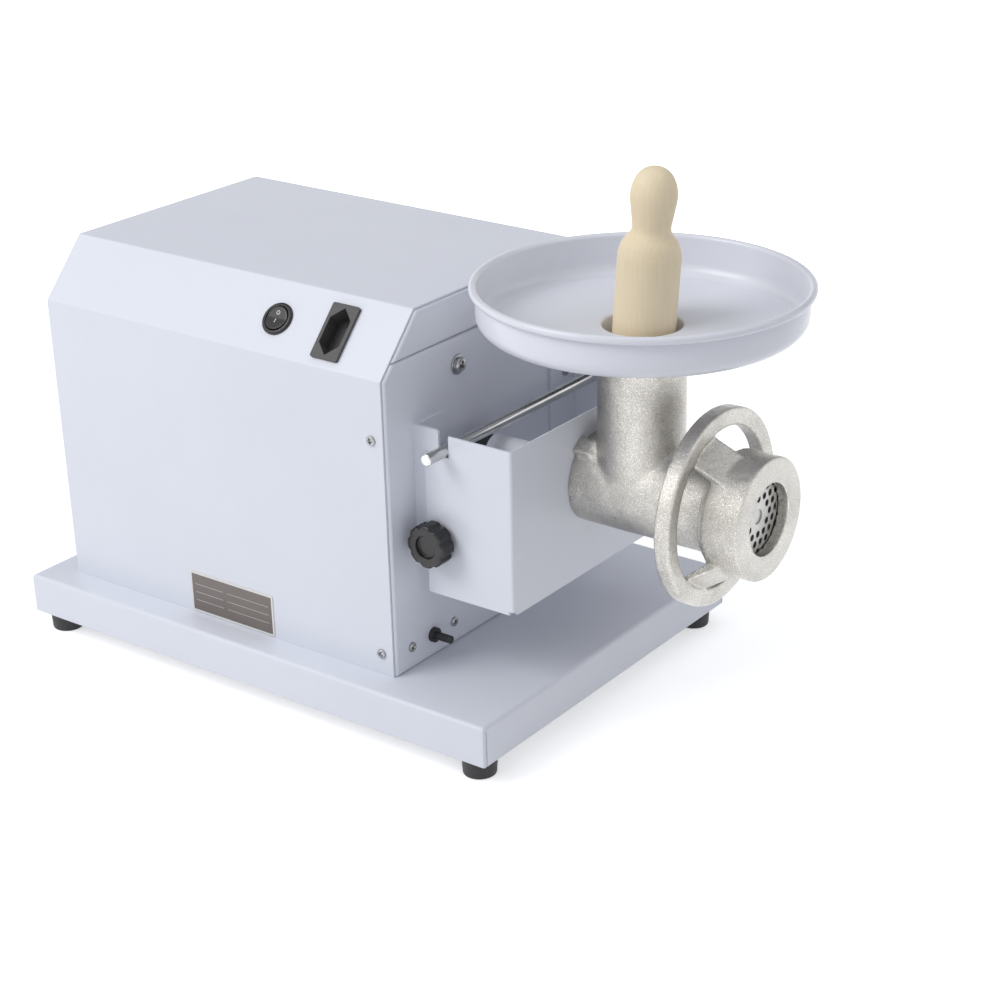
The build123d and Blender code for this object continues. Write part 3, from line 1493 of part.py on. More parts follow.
feed_pan.part.label = "feed_pan"

# ---- Pusher: turned wood, leaning a little in the throat ------------------------------------
waist_height = pusher_shoulder + pusher_waist_rise
bulb_height = waist_height + pusher_bulb_rise
pusher_length = bulb_height + pusher_crown
lean = radians(pusher_lean)
heading = radians(lean_heading)
pusher_axis = Vector(sin(lean) * cos(heading), sin(lean) * sin(heading), cos(lean))
# its tilted foot clears the auger's flight by the usual gap
pusher_foot_z = axis_z + auger_radius + slip_gap + pusher_body_radius * sin(lean)
# and its foot rests against the throat's wall, on the side away from its lean
foot_offset = neck_bore - pusher_body_radius / cos(lean) - slip_gap
pusher_foot = Vector(
    neck_x - foot_offset * cos(heading),
    axis_y - foot_offset * sin(heading),
    pusher_foot_z,
)
across_pusher = pusher_axis.cross(Vector(0, 1, 0)).normalized()
pusher_plane = Plane(origin=pusher_foot, x_dir=across_pusher, z_dir=across_pusher.cross(pusher_axis))
with BuildPart() as pusher:
    with BuildSketch(pusher_plane):
        with BuildLine():
            foot_line = Polyline(
                (0, 0),
                (pusher_body_radius - 1.5, 0),
                (pusher_body_radius, 1.5),
                (pusher_body_radius, pusher_shoulder),
            )
            shoulder = Spline(
                (pusher_body_radius, pusher_shoulder),
                (pusher_body_radius - 2.6, pusher_shoulder + pusher_waist_rise / 2),
                (pusher_waist_radius, waist_height),
                (pusher_bulb_radius, bulb_height),
                (0, pusher_length),
                tangents=((0, 1), (-1, 0)),
            )
            Line((0, pusher_length), (0, 0))
        make_face()
    revolve(axis=Axis(pusher_foot, pusher_axis))
pusher.part.label = "pusher"

# ---- Write one STEP file per piece ----------------------------------------------------------
pieces = [
    base_tray, rubber_feet, foot_screws, cover_sheet, end_panel_drive, end_cap_drive,
    end_panel_fan, end_cap_fan, cable_gland, small_screws, frame_screws,
    switch_bezel, switch_rocker, outlet_body, outlet_contacts, nameplate, plunger_bush,
    safety_plunger, plunger_switch, pinion, output_gear, countershaft, shaft_collar,
    bearing_frame, counter_bearings, counter_pulley, motor_pulley, drive_belt, motor_shell,
    stator_core, stator_windings, motor_bell_front, motor_bell_rear, rotor_core, motor_shaft,
    motor_fan, fan_cover, motor_base, motor_base_bolts, capacitor, terminal_block, drive_box,
    hang_rod, clamp_knob, knob_stud, weld_nut, bearing_housing, output_bearings, head_bolts,
    output_shaft, head_casting, rear_bush, auger, knife, perforated_plate, ring_nut,
    feed_pan, pusher,
]
solids = [piece.part for piece in pieces] + [holder_near_part, holder_far_part]

os.makedirs("parts", exist_ok=True)
for solid in solids:
    export_step(solid, f"parts/{solid.label}.step")
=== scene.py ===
"""Looks of an electric meat grinder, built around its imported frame.

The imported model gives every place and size. This script dresses its nodes in
procedural finishes and swaps the cast, turned and moulded ones for finer meshes.
Units are metres, +Z is up, and +X runs from the housing to the nose of the head.
"""

from __future__ import annotations

import json
import logging
import math
from collections.abc import Callable, Sequence
from dataclasses import dataclass
from enum import Enum
from functools import cache

import bmesh
import bpy
from mathutils import Matrix, Vector

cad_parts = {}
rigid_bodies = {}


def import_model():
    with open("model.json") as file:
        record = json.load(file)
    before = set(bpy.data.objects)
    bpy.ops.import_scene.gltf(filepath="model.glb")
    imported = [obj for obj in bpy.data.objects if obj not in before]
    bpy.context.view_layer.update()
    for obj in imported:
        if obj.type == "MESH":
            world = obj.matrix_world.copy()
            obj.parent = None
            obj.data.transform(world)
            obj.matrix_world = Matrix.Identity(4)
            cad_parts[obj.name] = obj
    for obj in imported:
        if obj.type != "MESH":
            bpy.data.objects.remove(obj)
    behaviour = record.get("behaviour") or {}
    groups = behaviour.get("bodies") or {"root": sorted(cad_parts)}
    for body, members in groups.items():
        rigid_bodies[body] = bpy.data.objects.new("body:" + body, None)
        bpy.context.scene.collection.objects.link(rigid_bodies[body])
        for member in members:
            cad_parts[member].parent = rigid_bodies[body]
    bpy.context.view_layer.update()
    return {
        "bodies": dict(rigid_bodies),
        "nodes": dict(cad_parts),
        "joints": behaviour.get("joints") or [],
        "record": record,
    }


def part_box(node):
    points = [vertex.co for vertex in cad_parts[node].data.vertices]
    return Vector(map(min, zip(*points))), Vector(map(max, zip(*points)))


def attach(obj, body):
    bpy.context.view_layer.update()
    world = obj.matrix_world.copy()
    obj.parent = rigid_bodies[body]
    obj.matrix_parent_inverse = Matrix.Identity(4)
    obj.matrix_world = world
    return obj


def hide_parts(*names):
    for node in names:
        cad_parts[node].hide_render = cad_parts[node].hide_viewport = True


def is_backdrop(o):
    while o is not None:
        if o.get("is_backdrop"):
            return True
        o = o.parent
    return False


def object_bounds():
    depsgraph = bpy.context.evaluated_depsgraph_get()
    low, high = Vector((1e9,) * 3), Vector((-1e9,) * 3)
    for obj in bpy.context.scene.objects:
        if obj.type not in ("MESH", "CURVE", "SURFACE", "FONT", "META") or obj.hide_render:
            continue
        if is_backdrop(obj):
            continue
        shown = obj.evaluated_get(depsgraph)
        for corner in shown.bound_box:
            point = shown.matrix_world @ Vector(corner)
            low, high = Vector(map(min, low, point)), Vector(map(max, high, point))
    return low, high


LOG = logging.getLogger("meat_grinder")
MM = 0.001
MERGE = 1e-6
WHITE = (1.0, 1.0, 1.0, 1.0)
NO_TURN = (0.0, 0.0, 0.0)
ALONG_X = (0.0, -math.pi / 2, 0.0)
ALONG_Y = (-math.pi / 2, 0.0, 0.0)

Colour = tuple[float, float, float, float]
Triple = tuple[float, float, float]
Point = tuple[float, float]
Profile = list[Point]
Mesh = bpy.types.Mesh
Material = bpy.types.Material
Node = bpy.types.Node
Socket = bpy.types.NodeSocket
Outputs = bpy.types.NodeOutputs
Tree = bpy.types.NodeTree


def shade(red: int, green: int, blue: int) -> Colour:
    """Turn a display colour into the linear one that shaders use.

    Args:
        red: Display red, 0 to 255.
        green: Display green, 0 to 255.
        blue: Display blue, 0 to 255.

    Returns:
        Linear red, green, blue and an alpha of one.
    """
    linear = []
    for value in (red, green, blue):
        part = value / 255
        linear.append(part / 12.92 if part <= 0.04045 else ((part + 0.055) / 1.055) ** 2.4)
    return linear[0], linear[1], linear[2], 1.0


def darker(colour: Colour, share: float) -> Colour:
    """The same colour with its red, green and blue reduced to a share."""
    return tuple(part * share for part in colour[:3]) + (1.0,)


class Slot(str, Enum):
    """Material slots of the record."""

    ENAMEL = "white_enamel"
    RUBBER = "black_rubber"
    ZINC = "zinc_steel"
    STEEL = "machined_steel"
    GLOSS_BLACK = "gloss_black"
    MATT_BLACK = "matte_black"
    BRASS = "brass"
    NAMEPLATE = "nameplate_grey"
    NYLON = "white_nylon"
    ALUMINIUM = "cast_aluminium"
    TINNED_IRON = "tinned_iron"
    WOOD = "pale_wood"


class Heading(Enum):
    """Directions that a repeated part can face."""

    NOSE = (1.0, 0.0, 0.0)
    FRONT = (0.0, -1.0, 0.0)
    UP = (0.0, 0.0, 1.0)

    @property
    def vector(self) -> Vector:
        """The direction as a vector."""
        return Vector(self.value)


# ---- Node trees ----------------------------------------------------------------------


class Graph:
    """A node tree with short calls for adding and wiring nodes."""

    def __init__(self, tree: Tree) -> None:
        """Keep the tree that the calls work on."""
        self.tree = tree

    def feed(self, socket: Socket, value: object) -> None:
        """Wire an output or a node's first output into a socket, or write a value on it."""
        if isinstance(value, Node):
            value = value.outputs[0]
        if isinstance(value, Socket):
            self.tree.links.new(value, socket)
        else:
            socket.default_value = value

    def add(self, kind: str, inputs: dict | Sequence = (), **settings: object) -> Node:
        """Add a node, set its properties and feed its inputs.

        Args:
            kind: The node's type name.
            inputs: Values or outputs, by socket name or in socket order.
            **settings: Properties of the node by name.

        Returns:
            The new node.
        """
        node = self.tree.nodes.new(kind)
        for name, value in settings.items():
            setattr(node, name, value)
        for place, value in inputs.items() if isinstance(inputs, dict) else enumerate(inputs):
            self.feed(node.inputs[place], value)
        return node

    def maths(self, operation: str, *values: object, clamp: bool = False) -> Socket:
        """Work on numbers or outputs with a Math node and return its output."""
        node = self.add("ShaderNodeMath", values, operation=operation, use_clamp=clamp)
        return node.outputs[0]

    def times(self, first: object, second: object) -> Socket:
        """Multiply two values."""
        return self.maths("MULTIPLY", first, second)

    def minus(self, first: object, second: object) -> Socket:
        """Subtract the second value from the first."""
        return self.maths("SUBTRACT", first, second)

    def vectors(self, operation: str, *values: object) -> Socket:
        """Work on vectors with a Vector Math node and return its output."""
        node = self.add("ShaderNodeVectorMath", values, operation=operation)
        return node.outputs["Value" if operation in ("LENGTH", "DOT_PRODUCT") else "Vector"]

    def noise(
        self, vector: object, scale: object, detail: float = 2.0, roughness: float = 0.5
    ) -> Socket:
        """Add a noise texture and return its value output."""
        inputs = {"Vector": vector, "Scale": scale, "Detail": detail, "Roughness": roughness}
        return self.add("ShaderNodeTexNoise", inputs).outputs[0]

    def span(
        self, value: object, low: float, high: float, start: object = 0.0, end: object = 1.0
    ) -> Socket:
        """Map a value from one range to another, held at both ends."""
        inputs = (value, low, high, start, end)
        return self.add("ShaderNodeMapRange", inputs, clamp=True).outputs[0]

    def ramp(self, mask: object, start: object, end: object) -> Socket:
        """Map a mask from start at zero to end at one."""
        return self.span(mask, 0.0, 1.0, start, end)

    def blend(self, mask: object, first: object, second: object) -> Socket:
        """Mix two colours by a mask and return the colour."""
        inputs = {0: mask, 6: first, 7: second}
        return self.add("ShaderNodeMix", inputs, data_type="RGBA").outputs[2]

    def bump(self, height: object, distance: object, normal: Socket | None = None) -> Socket:
        """Tilt a normal, or the surface's own, by a height and return the new one."""
        inputs = {"Height": height, "Distance": distance}
        if normal is not None:
            inputs["Normal"] = normal
        return self.add("ShaderNodeBump", inputs).outputs[0]


def spaced(label: str) -> str:
    """The socket label that a keyword stands for."""
    return label.replace("_", " ")


def effect(**defaults: float) -> Callable:
    """Turn a wiring function into a shader node group that is built once.

    Args:
        **defaults: Default of each number the group takes, with underscores for spaces.

    Returns:
        A decorator for a function that takes the group's graph and its inputs and gives
        its outputs by name. What it leaves is a function that returns the group's tree.
    """

    def wrap(wire: Callable[[Graph, Outputs], dict[str, Socket]]) -> Callable[[], Tree]:
        """Keep the wiring until the group is first used."""

        @cache
        def build() -> Tree:
            """Build the group."""
            tree = bpy.data.node_groups.new(wire.__name__.capitalize(), "ShaderNodeTree")
            new = tree.interface.new_socket
            new("Vector", in_out="INPUT", socket_type="NodeSocketVector")
            for name, value in defaults.items():
                socket = new(spaced(name), in_out="INPUT", socket_type="NodeSocketFloat")
                socket.default_value = value
            graph = Graph(tree)
            results = wire(graph, graph.add("NodeGroupInput").outputs)
            for name in results:
                kind = "Vector" if name == "Normal" else "Float"
                new(name, in_out="OUTPUT", socket_type=f"NodeSocket{kind}")
            graph.add("NodeGroupOutput", results)
            return tree

        return build

    return wrap


@effect(Grain_Scale=900.0, Grain_Depth=2e-5, Swell_Scale=60.0, Swell_Depth=1e-4, Radius=4e-4)
def relief(graph: Graph, given: Outputs) -> dict[str, Socket]:
    """A normal with rounded edges, fine grain and slow swell."""
    normal = graph.add("ShaderNodeBevel", {"Radius": given["Radius"]}, samples=4).outputs[0]
    for kind, detail in (("Swell", 2.0), ("Grain", 3.0)):
        height = graph.noise(given["Vector"], given[f"{kind} Scale"], detail)
        normal = graph.bump(height, given[f"{kind} Depth"], normal)
    return {"Normal": normal}


@effect(Patch_Scale=12.0, Speck_Scale=900.0)
def mottle(graph: Graph, given: Outputs) -> dict[str, Socket]:
    """A soft patch mask and a fine speckle mask."""
    patches = graph.noise(given["Vector"], given["Patch Scale"], 4.0, 0.6)
    specks = graph.noise(given["Vector"], given["Speck Scale"], 1.0)
    return {
        "Patches": graph.span(patches, 0.38, 0.66),
        "Specks": graph.span(specks, 0.52, 0.68),
    }


@effect(Width=0.0008, Break_Scale=160.0)
def edges(graph: Graph, given: Outputs) -> dict[str, Socket]:
    """A broken mask along outer edges."""
    rounded = graph.add("ShaderNodeBevel", {"Radius": given["Width"]}, samples=4)
    surface = graph.add("ShaderNodeNewGeometry")
    level = graph.vectors("DOT_PRODUCT", rounded, surface.outputs["Normal"])
    turned_away = graph.span(graph.minus(1.0, level), 0.015, 0.12)
    broken = graph.noise(given["Vector"], given["Break Scale"], 3.0)
    return {"Mask": graph.times(turned_away, graph.span(broken, 0.35, 0.6))}


@effect(Rings=900.0)
def turning(graph: Graph, given: Outputs) -> dict[str, Socket]:
    """The fine rings that a lathe leaves, about the Z of the vector."""
    parts = graph.add("ShaderNodeSeparateXYZ", [given["Vector"]])
    flat = graph.vectors("MULTIPLY", given["Vector"], (1.0, 1.0, 0.0))
    line = graph.maths("ADD", graph.vectors("LENGTH", flat), parts.outputs["Z"])
    place = graph.add("ShaderNodeCombineXYZ", {"X": line})
    return {"Height": graph.noise(place, given["Rings"], 3.0, 0.7)}


class Surface(Graph):
    """A material's tree, with its shader and object coordinates ready."""

    def __init__(self, name: str) -> None:
        """Make the material and its Principled shader."""
        self.material = bpy.data.materials.new(name)
        self.material.use_nodes = True
        super().__init__(self.material.node_tree)
        self.tree.nodes.clear()
        self.shader = self.add("ShaderNodeBsdfPrincipled")
        self.add("ShaderNodeOutputMaterial", {"Surface": self.shader})
        self.place = self.add("ShaderNodeTexCoord").outputs["Object"]

    def set(self, **values: object) -> Material:
        """Feed the shader's inputs, named with underscores, and return the material."""
        for name, value in values.items():
            self.feed(self.shader.inputs[spaced(name)], value)
        return self.material

    def group(self, tree: Tree, **values: object) -> Outputs:
        """Place a shared effect on the object coordinates and return its outputs."""
        inputs = {"Vector": self.place} | {spaced(name): value for name, value in values.items()}
        return self.add("ShaderNodeGroup", inputs, node_tree=tree).outputs

    def patches(self, scale: float) -> Socket:
        """A soft patch mask."""
        return self.group(mottle(), Patch_Scale=scale)["Patches"]

    def specks(self, scale: float) -> Socket:
        """A fine speckle mask."""
        return self.group(mottle(), Speck_Scale=scale)["Specks"]

    def relief(
        self, grain: Point = (900.0, 2e-5), swell: Point = (60.0, 1e-4), edge: float = 4e-4
    ) -> Socket:
        """A normal with scale and depth of its grain and swell, and its edges' radius."""
        values = {"Grain_Scale": grain[0], "Grain_Depth": grain[1], "Radius": edge}
        values |= {"Swell_Scale": swell[0], "Swell_Depth": swell[1]}
        return self.group(relief(), **values)["Normal"]

    def rings(self, centre: Vector, turn: Triple, scale: float) -> Socket:
        """Height of a lathe's rings about a turned axis through a point."""
        return self.group(turning(), Vector=self.centred(centre, turn), Rings=scale)["Height"]

    def centred(self, centre: Vector, turn: Triple, scale: Triple = (1.0, 1.0, 1.0)) -> Socket:
        """Object coordinates measured from a point, then turned and scaled."""
        shifted = self.vectors("SUBTRACT", self.place, tuple(centre))
        inputs = {"Vector": shifted, "Rotation": turn, "Scale": scale}
        return self.add("ShaderNodeMapping", inputs, vector_type="POINT").outputs[0]


# ---- Finishes ------------------------------------------------------------------------


@dataclass(frozen=True)
class Enamel:
    """White stove enamel on sheet steel, a little wavy, greyer where hands reach."""

    name: str = "stove_enamel"
    colour: Colour = shade(226, 229, 238)
    handled: Colour = shade(220, 223, 232)
    handling: float = 0.35
    roughness: float = 0.3

    def make(self) -> Material:
        """Build the material."""
        surface = Surface(self.name)
        patches = surface.patches(9.0)
        mask = surface.times(patches, self.handling)
        return surface.set(
            Base_Color=surface.blend(mask, self.colour, self.handled),
            Roughness=surface.ramp(patches, self.roughness, self.roughness + 0.04),
            Specular_IOR_Level=0.42,
            Normal=surface.relief(grain=(620.0, 1.2e-5), swell=(16.0, 1.2e-4), edge=6e-4),
        )


@dataclass(frozen=True)
class SpunEnamel:
    """The same enamel on a spun pan, with faint rings about its axis."""

    centre: Vector
    name: str = "spun_enamel"
    colour: Colour = shade(228, 230, 238)
    handled: Colour = shade(222, 224, 232)
    handling: float = 0.25
    roughness: float = 0.24

    def make(self) -> Material:
        """Build the material."""
        surface = Surface(self.name)
        patches = surface.patches(14.0)
        mask = surface.times(patches, self.handling)
        rings = surface.rings(self.centre, NO_TURN, 220.0)
        smooth = surface.relief(grain=(900.0, 1e-5), swell=(12.0, 4e-5), edge=3e-4)
        return surface.set(
            Base_Color=surface.blend(mask, self.colour, self.handled),
            Roughness=surface.ramp(patches, self.roughness, self.roughness + 0.03),
            Normal=surface.bump(rings, 2e-5, smooth),
        )


@dataclass(frozen=True)
class TinnedCasting:
    """Hot-tinned cast iron: sandy, warm silver, brighter where it is worn."""

    name: str = "tinned_casting"
    colour: Colour = shade(200, 197, 191)
    hollow: Colour = shade(142, 138, 131)
    worn: Colour = shade(246, 245, 242)
    stain: float = 0.45
    pitting: float = 0.55
    glitter: float = 0.5
    polish: float = 0.1

    def make(self) -> Material:
        """Build the material."""
        surface = Surface(self.name)
        patches, specks = surface.patches(34.0), surface.specks(1500.0)
        rubbed = surface.group(edges(), Width=0.0014, Break_Scale=220.0)["Mask"]
        sand = surface.noise(surface.place, 1250.0, 4.0, 0.65)
        pits = surface.span(sand, 0.34, 0.5, 1.0, 0.0)
        base = surface.blend(surface.times(patches, self.stain), self.colour, self.hollow)
        base = surface.blend(surface.times(pits, self.pitting), base, self.hollow)
        base = surface.blend(surface.times(specks, self.glitter), base, self.worn)
        rough = surface.ramp(specks, 0.32, 0.14)
        swollen = surface.relief(grain=(1900.0, 4e-5), swell=(170.0, 4e-4), edge=8e-4)
        return surface.set(
            Base_Color=surface.blend(rubbed, base, self.worn),
            Metallic=0.97,
            Roughness=surface.minus(rough, surface.times(rubbed, self.polish)),
            Normal=surface.bump(sand, 4e-4, swollen),
        )


@dataclass(frozen=True)
class TurnedMetal:
    """Bright or ground metal with the rings or lines that its tool left."""

    name: str
    colour: Colour
    roughness: float
    centre: Vector
    turn: Triple
    rings: float = 1400.0
    depth: float = 2e-5

    def make(self) -> Material:
        """Build the material."""
        surface = Surface(self.name)
        rings = surface.rings(self.centre, self.turn, self.rings)
        mask = surface.times(surface.patches(60.0), 0.6)
        smooth = surface.relief(grain=(900.0, 6e-6), swell=(200.0, 3e-5), edge=3e-4)
        return surface.set(
            Base_Color=surface.blend(mask, self.colour, darker(self.colour, 0.72)),
            Metallic=1.0,
            Roughness=surface.span(rings, 0.3, 0.7, self.roughness, self.roughness + 0.14),
            Normal=surface.bump(rings, self.depth, smooth),
        )


@dataclass(frozen=True)
class CastMetal:
    """Die-cast or rough metal with a fine grain."""

    name: str
    colour: Colour
    roughness: float = 0.42
    grain: float = 8e-5
    variation: float = 0.08

    def make(self) -> Material:
        """Build the material."""
        surface = Surface(self.name)
        mask = surface.times(surface.patches(40.0), 0.5)
        dull, bright = self.roughness + self.variation, self.roughness - self.variation
        return surface.set(
            Base_Color=surface.blend(mask, self.colour, darker(self.colour, 0.7)),
            Metallic=1.0,
            Roughness=surface.ramp(surface.specks(900.0), dull, bright),
            Normal=surface.relief(grain=(700.0, self.grain), swell=(120.0, 2e-4), edge=6e-4),
        )


@dataclass(frozen=True)
class Plastic:
    """Moulded plastic, glossy or eroded, with faint dust in its grain."""

    name: str
    colour: Colour
    roughness: float
    grain: float = 1e-5
    dust: float = 0.12

    def make(self) -> Material:
        """Build the material."""
        surface = Surface(self.name)
        patches = surface.patches(70.0)
        rubbed = surface.group(edges(), Width=0.0005, Break_Scale=400.0)["Mask"]
        dusty = tuple(min(1.0, part * 1.5 + 0.03) for part in self.colour[:3]) + (1.0,)
        mask = surface.maths(
            "ADD", surface.times(patches, self.dust), surface.times(rubbed, self.dust), clamp=True
        )
        return surface.set(
            Base_Color=surface.blend(mask, self.colour, dusty),
            Roughness=surface.ramp(patches, self.roughness, self.roughness + 0.1),
            Normal=surface.relief(grain=(1500.0, self.grain), swell=(150.0, 5e-5)),
        )


@dataclass(frozen=True)
class TurnedWood:
    """Pale close-grained hardwood, turned and left bare."""

    axis: Vector
    centre: Vector
    name: str = "turned_beech"
    light: Colour = shade(242, 226, 194)
    dark: Colour = shade(229, 209, 172)
    end: Colour = shade(212, 188, 148)
    stretch: float = 0.04
    banding: float = 0.14
    clouding: float = 0.35
    flecking: float = 0.26

    def make(self) -> Material:
        """Build the material."""
        surface = Surface(self.name)
        turn = Vector((0, 0, 1)).rotation_difference(self.axis).inverted().to_euler()
        along = surface.centred(self.centre, tuple(turn), (1.0, 1.0, self.stretch))
        inputs = {"Vector": along, "Scale": 95.0, "Distortion": 9.0}
        inputs |= {"Detail": 4.0, "Detail Scale": 0.8, "Detail Roughness": 0.65}
        wave = surface.add(
            "ShaderNodeTexWave",
            inputs,
            wave_type="BANDS",
            bands_direction="X",
            wave_profile="SIN",
        )
        bands = surface.span(wave.outputs["Fac"], 0.15, 0.95)
        flecks = surface.span(surface.noise(along, 1300.0, 2.0), 0.6, 0.72)
        cloud = surface.span(surface.noise(along, 40.0, 3.0), 0.35, 0.7)
        base = surface.blend(surface.times(bands, self.banding), self.light, self.dark)
        base = surface.blend(surface.times(cloud, self.clouding), base, self.dark)
        base = surface.blend(surface.times(flecks, self.flecking), base, self.end)
        rings = surface.times(surface.rings(self.centre, tuple(turn), 420.0), 0.5)
        height = surface.maths("ADD", rings, surface.times(flecks, -0.6))
        return surface.set(
            Base_Color=base,
            Roughness=surface.ramp(bands, 0.52, 0.66),
            Normal=surface.bump(height, 6e-5),
        )


@dataclass(frozen=True)
class RatingPlate:
    """Printed plate left blank: a pale border and ruled, empty rows."""

    low: Vector
    high: Vector
    name: str = "blank_rating_plate"
    ground: Colour = shade(112, 103, 99)
    faded: Colour = shade(128, 119, 113)
    line: Colour = shade(226, 224, 220)
    border: float = 1.5 * MM
    margin: float = 4.5 * MM
    gap: float = 2.0 * MM
    column: float = 0.42
    rows: int = 5
    rule: float = 0.035
    rule_strength: float = 0.55

    def make(self) -> Material:
        """Build the material."""
        surface = Surface(self.name)
        parts = surface.add("ShaderNodeSeparateXYZ", [surface.place])
        x, z = parts.outputs["X"], parts.outputs["Z"]
        low, high = self.low, self.high
        depths = [
            surface.maths("MINIMUM", surface.minus(at, start), surface.minus(end, at))
            for at, start, end in ((x, low.x, high.x), (z, low.z, high.z))
        ]
        depth = surface.maths("MINIMUM", *depths)
        rise = surface.maths("DIVIDE", surface.minus(z, low.z), (high.z - low.z) / self.rows)
        off_row = surface.minus(surface.maths("FRACT", rise), 0.5)
        ruled = surface.maths("LESS_THAN", surface.maths("ABSOLUTE", off_row), self.rule)
        inside = surface.maths("GREATER_THAN", depth, self.margin)
        off_column = surface.minus(x, low.x + (high.x - low.x) * self.column)
        clear = surface.maths("GREATER_THAN", surface.maths("ABSOLUTE", off_column), self.gap)
        faint = surface.times(clear, self.rule_strength)
        rules = surface.times(surface.times(ruled, inside), faint)
        frame = surface.maths("LESS_THAN", depth, self.border)
        patches = surface.patches(50.0)
        base = surface.blend(surface.times(patches, 0.3), self.ground, self.faded)
        return surface.set(
            Base_Color=surface.blend(surface.maths("MAXIMUM", frame, rules), base, self.line),
            Roughness=surface.ramp(patches, 0.36, 0.5),
            Normal=surface.relief(grain=(900.0, 8e-6), edge=3e-4),
        )


@dataclass(frozen=True)
class Laminated:
    """Stacked sheet or wound wire: fine lines across one direction."""

    name: str
    colour: Colour
    pitch: float

    def make(self) -> Material:
        """Build the material."""
        surface = Surface(self.name)
        inputs = {"Vector": surface.place, "Scale": 0.31 / self.pitch, "Distortion": 0.4}
        wave = surface.add("ShaderNodeTexWave", inputs, wave_type="BANDS", bands_direction="X")
        lines = wave.outputs["Fac"]
        return surface.set(
            Base_Color=surface.blend(lines, darker(self.colour, 0.45), self.colour),
            Metallic=1.0,
            Roughness=surface.ramp(lines, 0.55, 0.32),
            Normal=surface.bump(lines, self.pitch * 0.3),
        )


# ---- Mesh tools ----------------------------------------------------------------------


def link(name: str, data: bpy.types.ID) -> bpy.types.Object:
    """Put data in the scene as an object and return the object."""
    piece = bpy.data.objects.new(name, data)
    bpy.context.scene.collection.objects.link(piece)
    return piece


def middle(node: str) -> Vector:
    """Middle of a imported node's box."""
    low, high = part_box(node)
    return (low + high) / 2


def arc(centre: Point, radius: float, start: float, end: float, steps: int) -> Profile:
    """Points of an arc in a profile, angles in degrees."""
    points = []
    for step in range(steps + 1):
        angle = math.radians(start + (end - start) * step / steps)
        points.append(
            (centre[0] + radius * math.cos(angle), centre[1] + radius * math.sin(angle))
        )
    return points


def eased(points: Sequence[Triple], steps: int) -> Profile:
    """Round the corners of an open run of points.

    Args:
        points: Radius, height and corner radius of each point.
        steps: How many pieces each corner is made of.

    Returns:
        The run with its corners rounded.
    """
    result: Profile = []
    for index, (radius, height, corner) in enumerate(points):
        here = Vector((radius, height))
        if corner <= 0 or index in (0, len(points) - 1):
            result.append((radius, height))
            continue
        back = Vector(points[index - 1][:2]) - here
        ahead = Vector(points[index + 1][:2]) - here
        reach = min(corner, back.length * 0.49, ahead.length * 0.49)
        first, last = here + back.normalized() * reach, here + ahead.normalized() * reach
        for step in range(steps + 1):
            share = step / steps
            point = first.lerp(here, share).lerp(here.lerp(last, share), share)
            result.append((point.x, point.y))
    return result


def flowing(points: Sequence[Point], steps: int) -> Profile:
    """A smooth curve through every given point."""
    result: Profile = []
    for index in range(len(points) - 1):
        before = Vector(points[max(index - 1, 0)])
        start, end = Vector(points[index]), Vector(points[index + 1])
        after = Vector(points[min(index + 2, len(points) - 1)])
        for step in range(steps):
            t = step / steps
            spot = 0.5 * (
                2 * start
                + (end - before) * t
                + (2 * before - 5 * start + 4 * end - after) * t * t
                + (3 * start - before - 3 * end + after) * t**3
            )
            result.append((max(spot.x, 0.0), spot.y))
    result.append(tuple(points[-1]))
    return result


def as_mesh(work: bmesh.types.BMesh, name: str) -> Mesh:
    """Turn a finished bmesh into a new mesh."""
    mesh = bpy.data.meshes.new(name)
    work.to_mesh(mesh)
    work.free()
    return mesh


def cleaned(mesh: Mesh, sharp: float = 38.0) -> Mesh:
    """Merge doubles, point faces outwards and mark edges sharper than an angle."""
    work = bmesh.new()
    work.from_mesh(mesh)
    bmesh.ops.remove_doubles(work, verts=work.verts, dist=MERGE)
    bmesh.ops.recalc_face_normals(work, faces=work.faces)
    for face in work.faces:
        face.smooth = True
    limit = math.radians(sharp)
    for edge in work.edges:
        edge.smooth = len(edge.link_faces) == 2 and edge.calc_face_angle(0.0) < limit
    work.to_mesh(mesh)
    work.free()
    return mesh


def turned(
    name: str,
    profile: Profile,
    segments: int,
    closed: bool = False,
    flute: Callable[[float, float], float] | None = None,
) -> Mesh:
    """Turn a profile about Z.

    Args:
        name: The mesh's name.
        profile: Radius and height of each point, in order.
        segments: How many steps make a full turn.
        closed: Whether the last point joins the first.
        flute: Gives the radius at a given radius and angle.

    Returns:
        The turned mesh.
    """
    work = bmesh.new()
    rings = []
    for radius, height in profile:
        if radius < MERGE / 10:
            rings.append([work.verts.new((0, 0, height))])
            continue
        ring = []
        for step in range(segments):
            angle = 2 * math.pi * step / segments
            reach = flute(radius, angle) if flute else radius
            ring.append(
                work.verts.new((reach * math.cos(angle), reach * math.sin(angle), height))
            )
        rings.append(ring)
    for lower, upper in zip(rings, rings[1:] + (rings[:1] if closed else [])):
        if len(lower) == 1 and len(upper) == 1:
            continue
        for step in range(segments):
            after = (step + 1) % segments
            if len(lower) == 1:
                work.faces.new((lower[0], upper[after], upper[step]))
            elif len(upper) == 1:
                work.faces.new((lower[step], lower[after], upper[0]))
            else:
                work.faces.new((lower[step], lower[after], upper[after], upper[step]))
    return cleaned(as_mesh(work, name))


def facing(mesh: Mesh, spot: Vector, heading: Vector) -> Mesh:
    """Turn a mesh made about Z to a heading and move it to a spot."""
    turn = Vector((0, 0, 1)).rotation_difference(heading.normalized()).to_matrix().to_4x4()
    mesh.transform(Matrix.Translation(spot) @ turn)
    return mesh


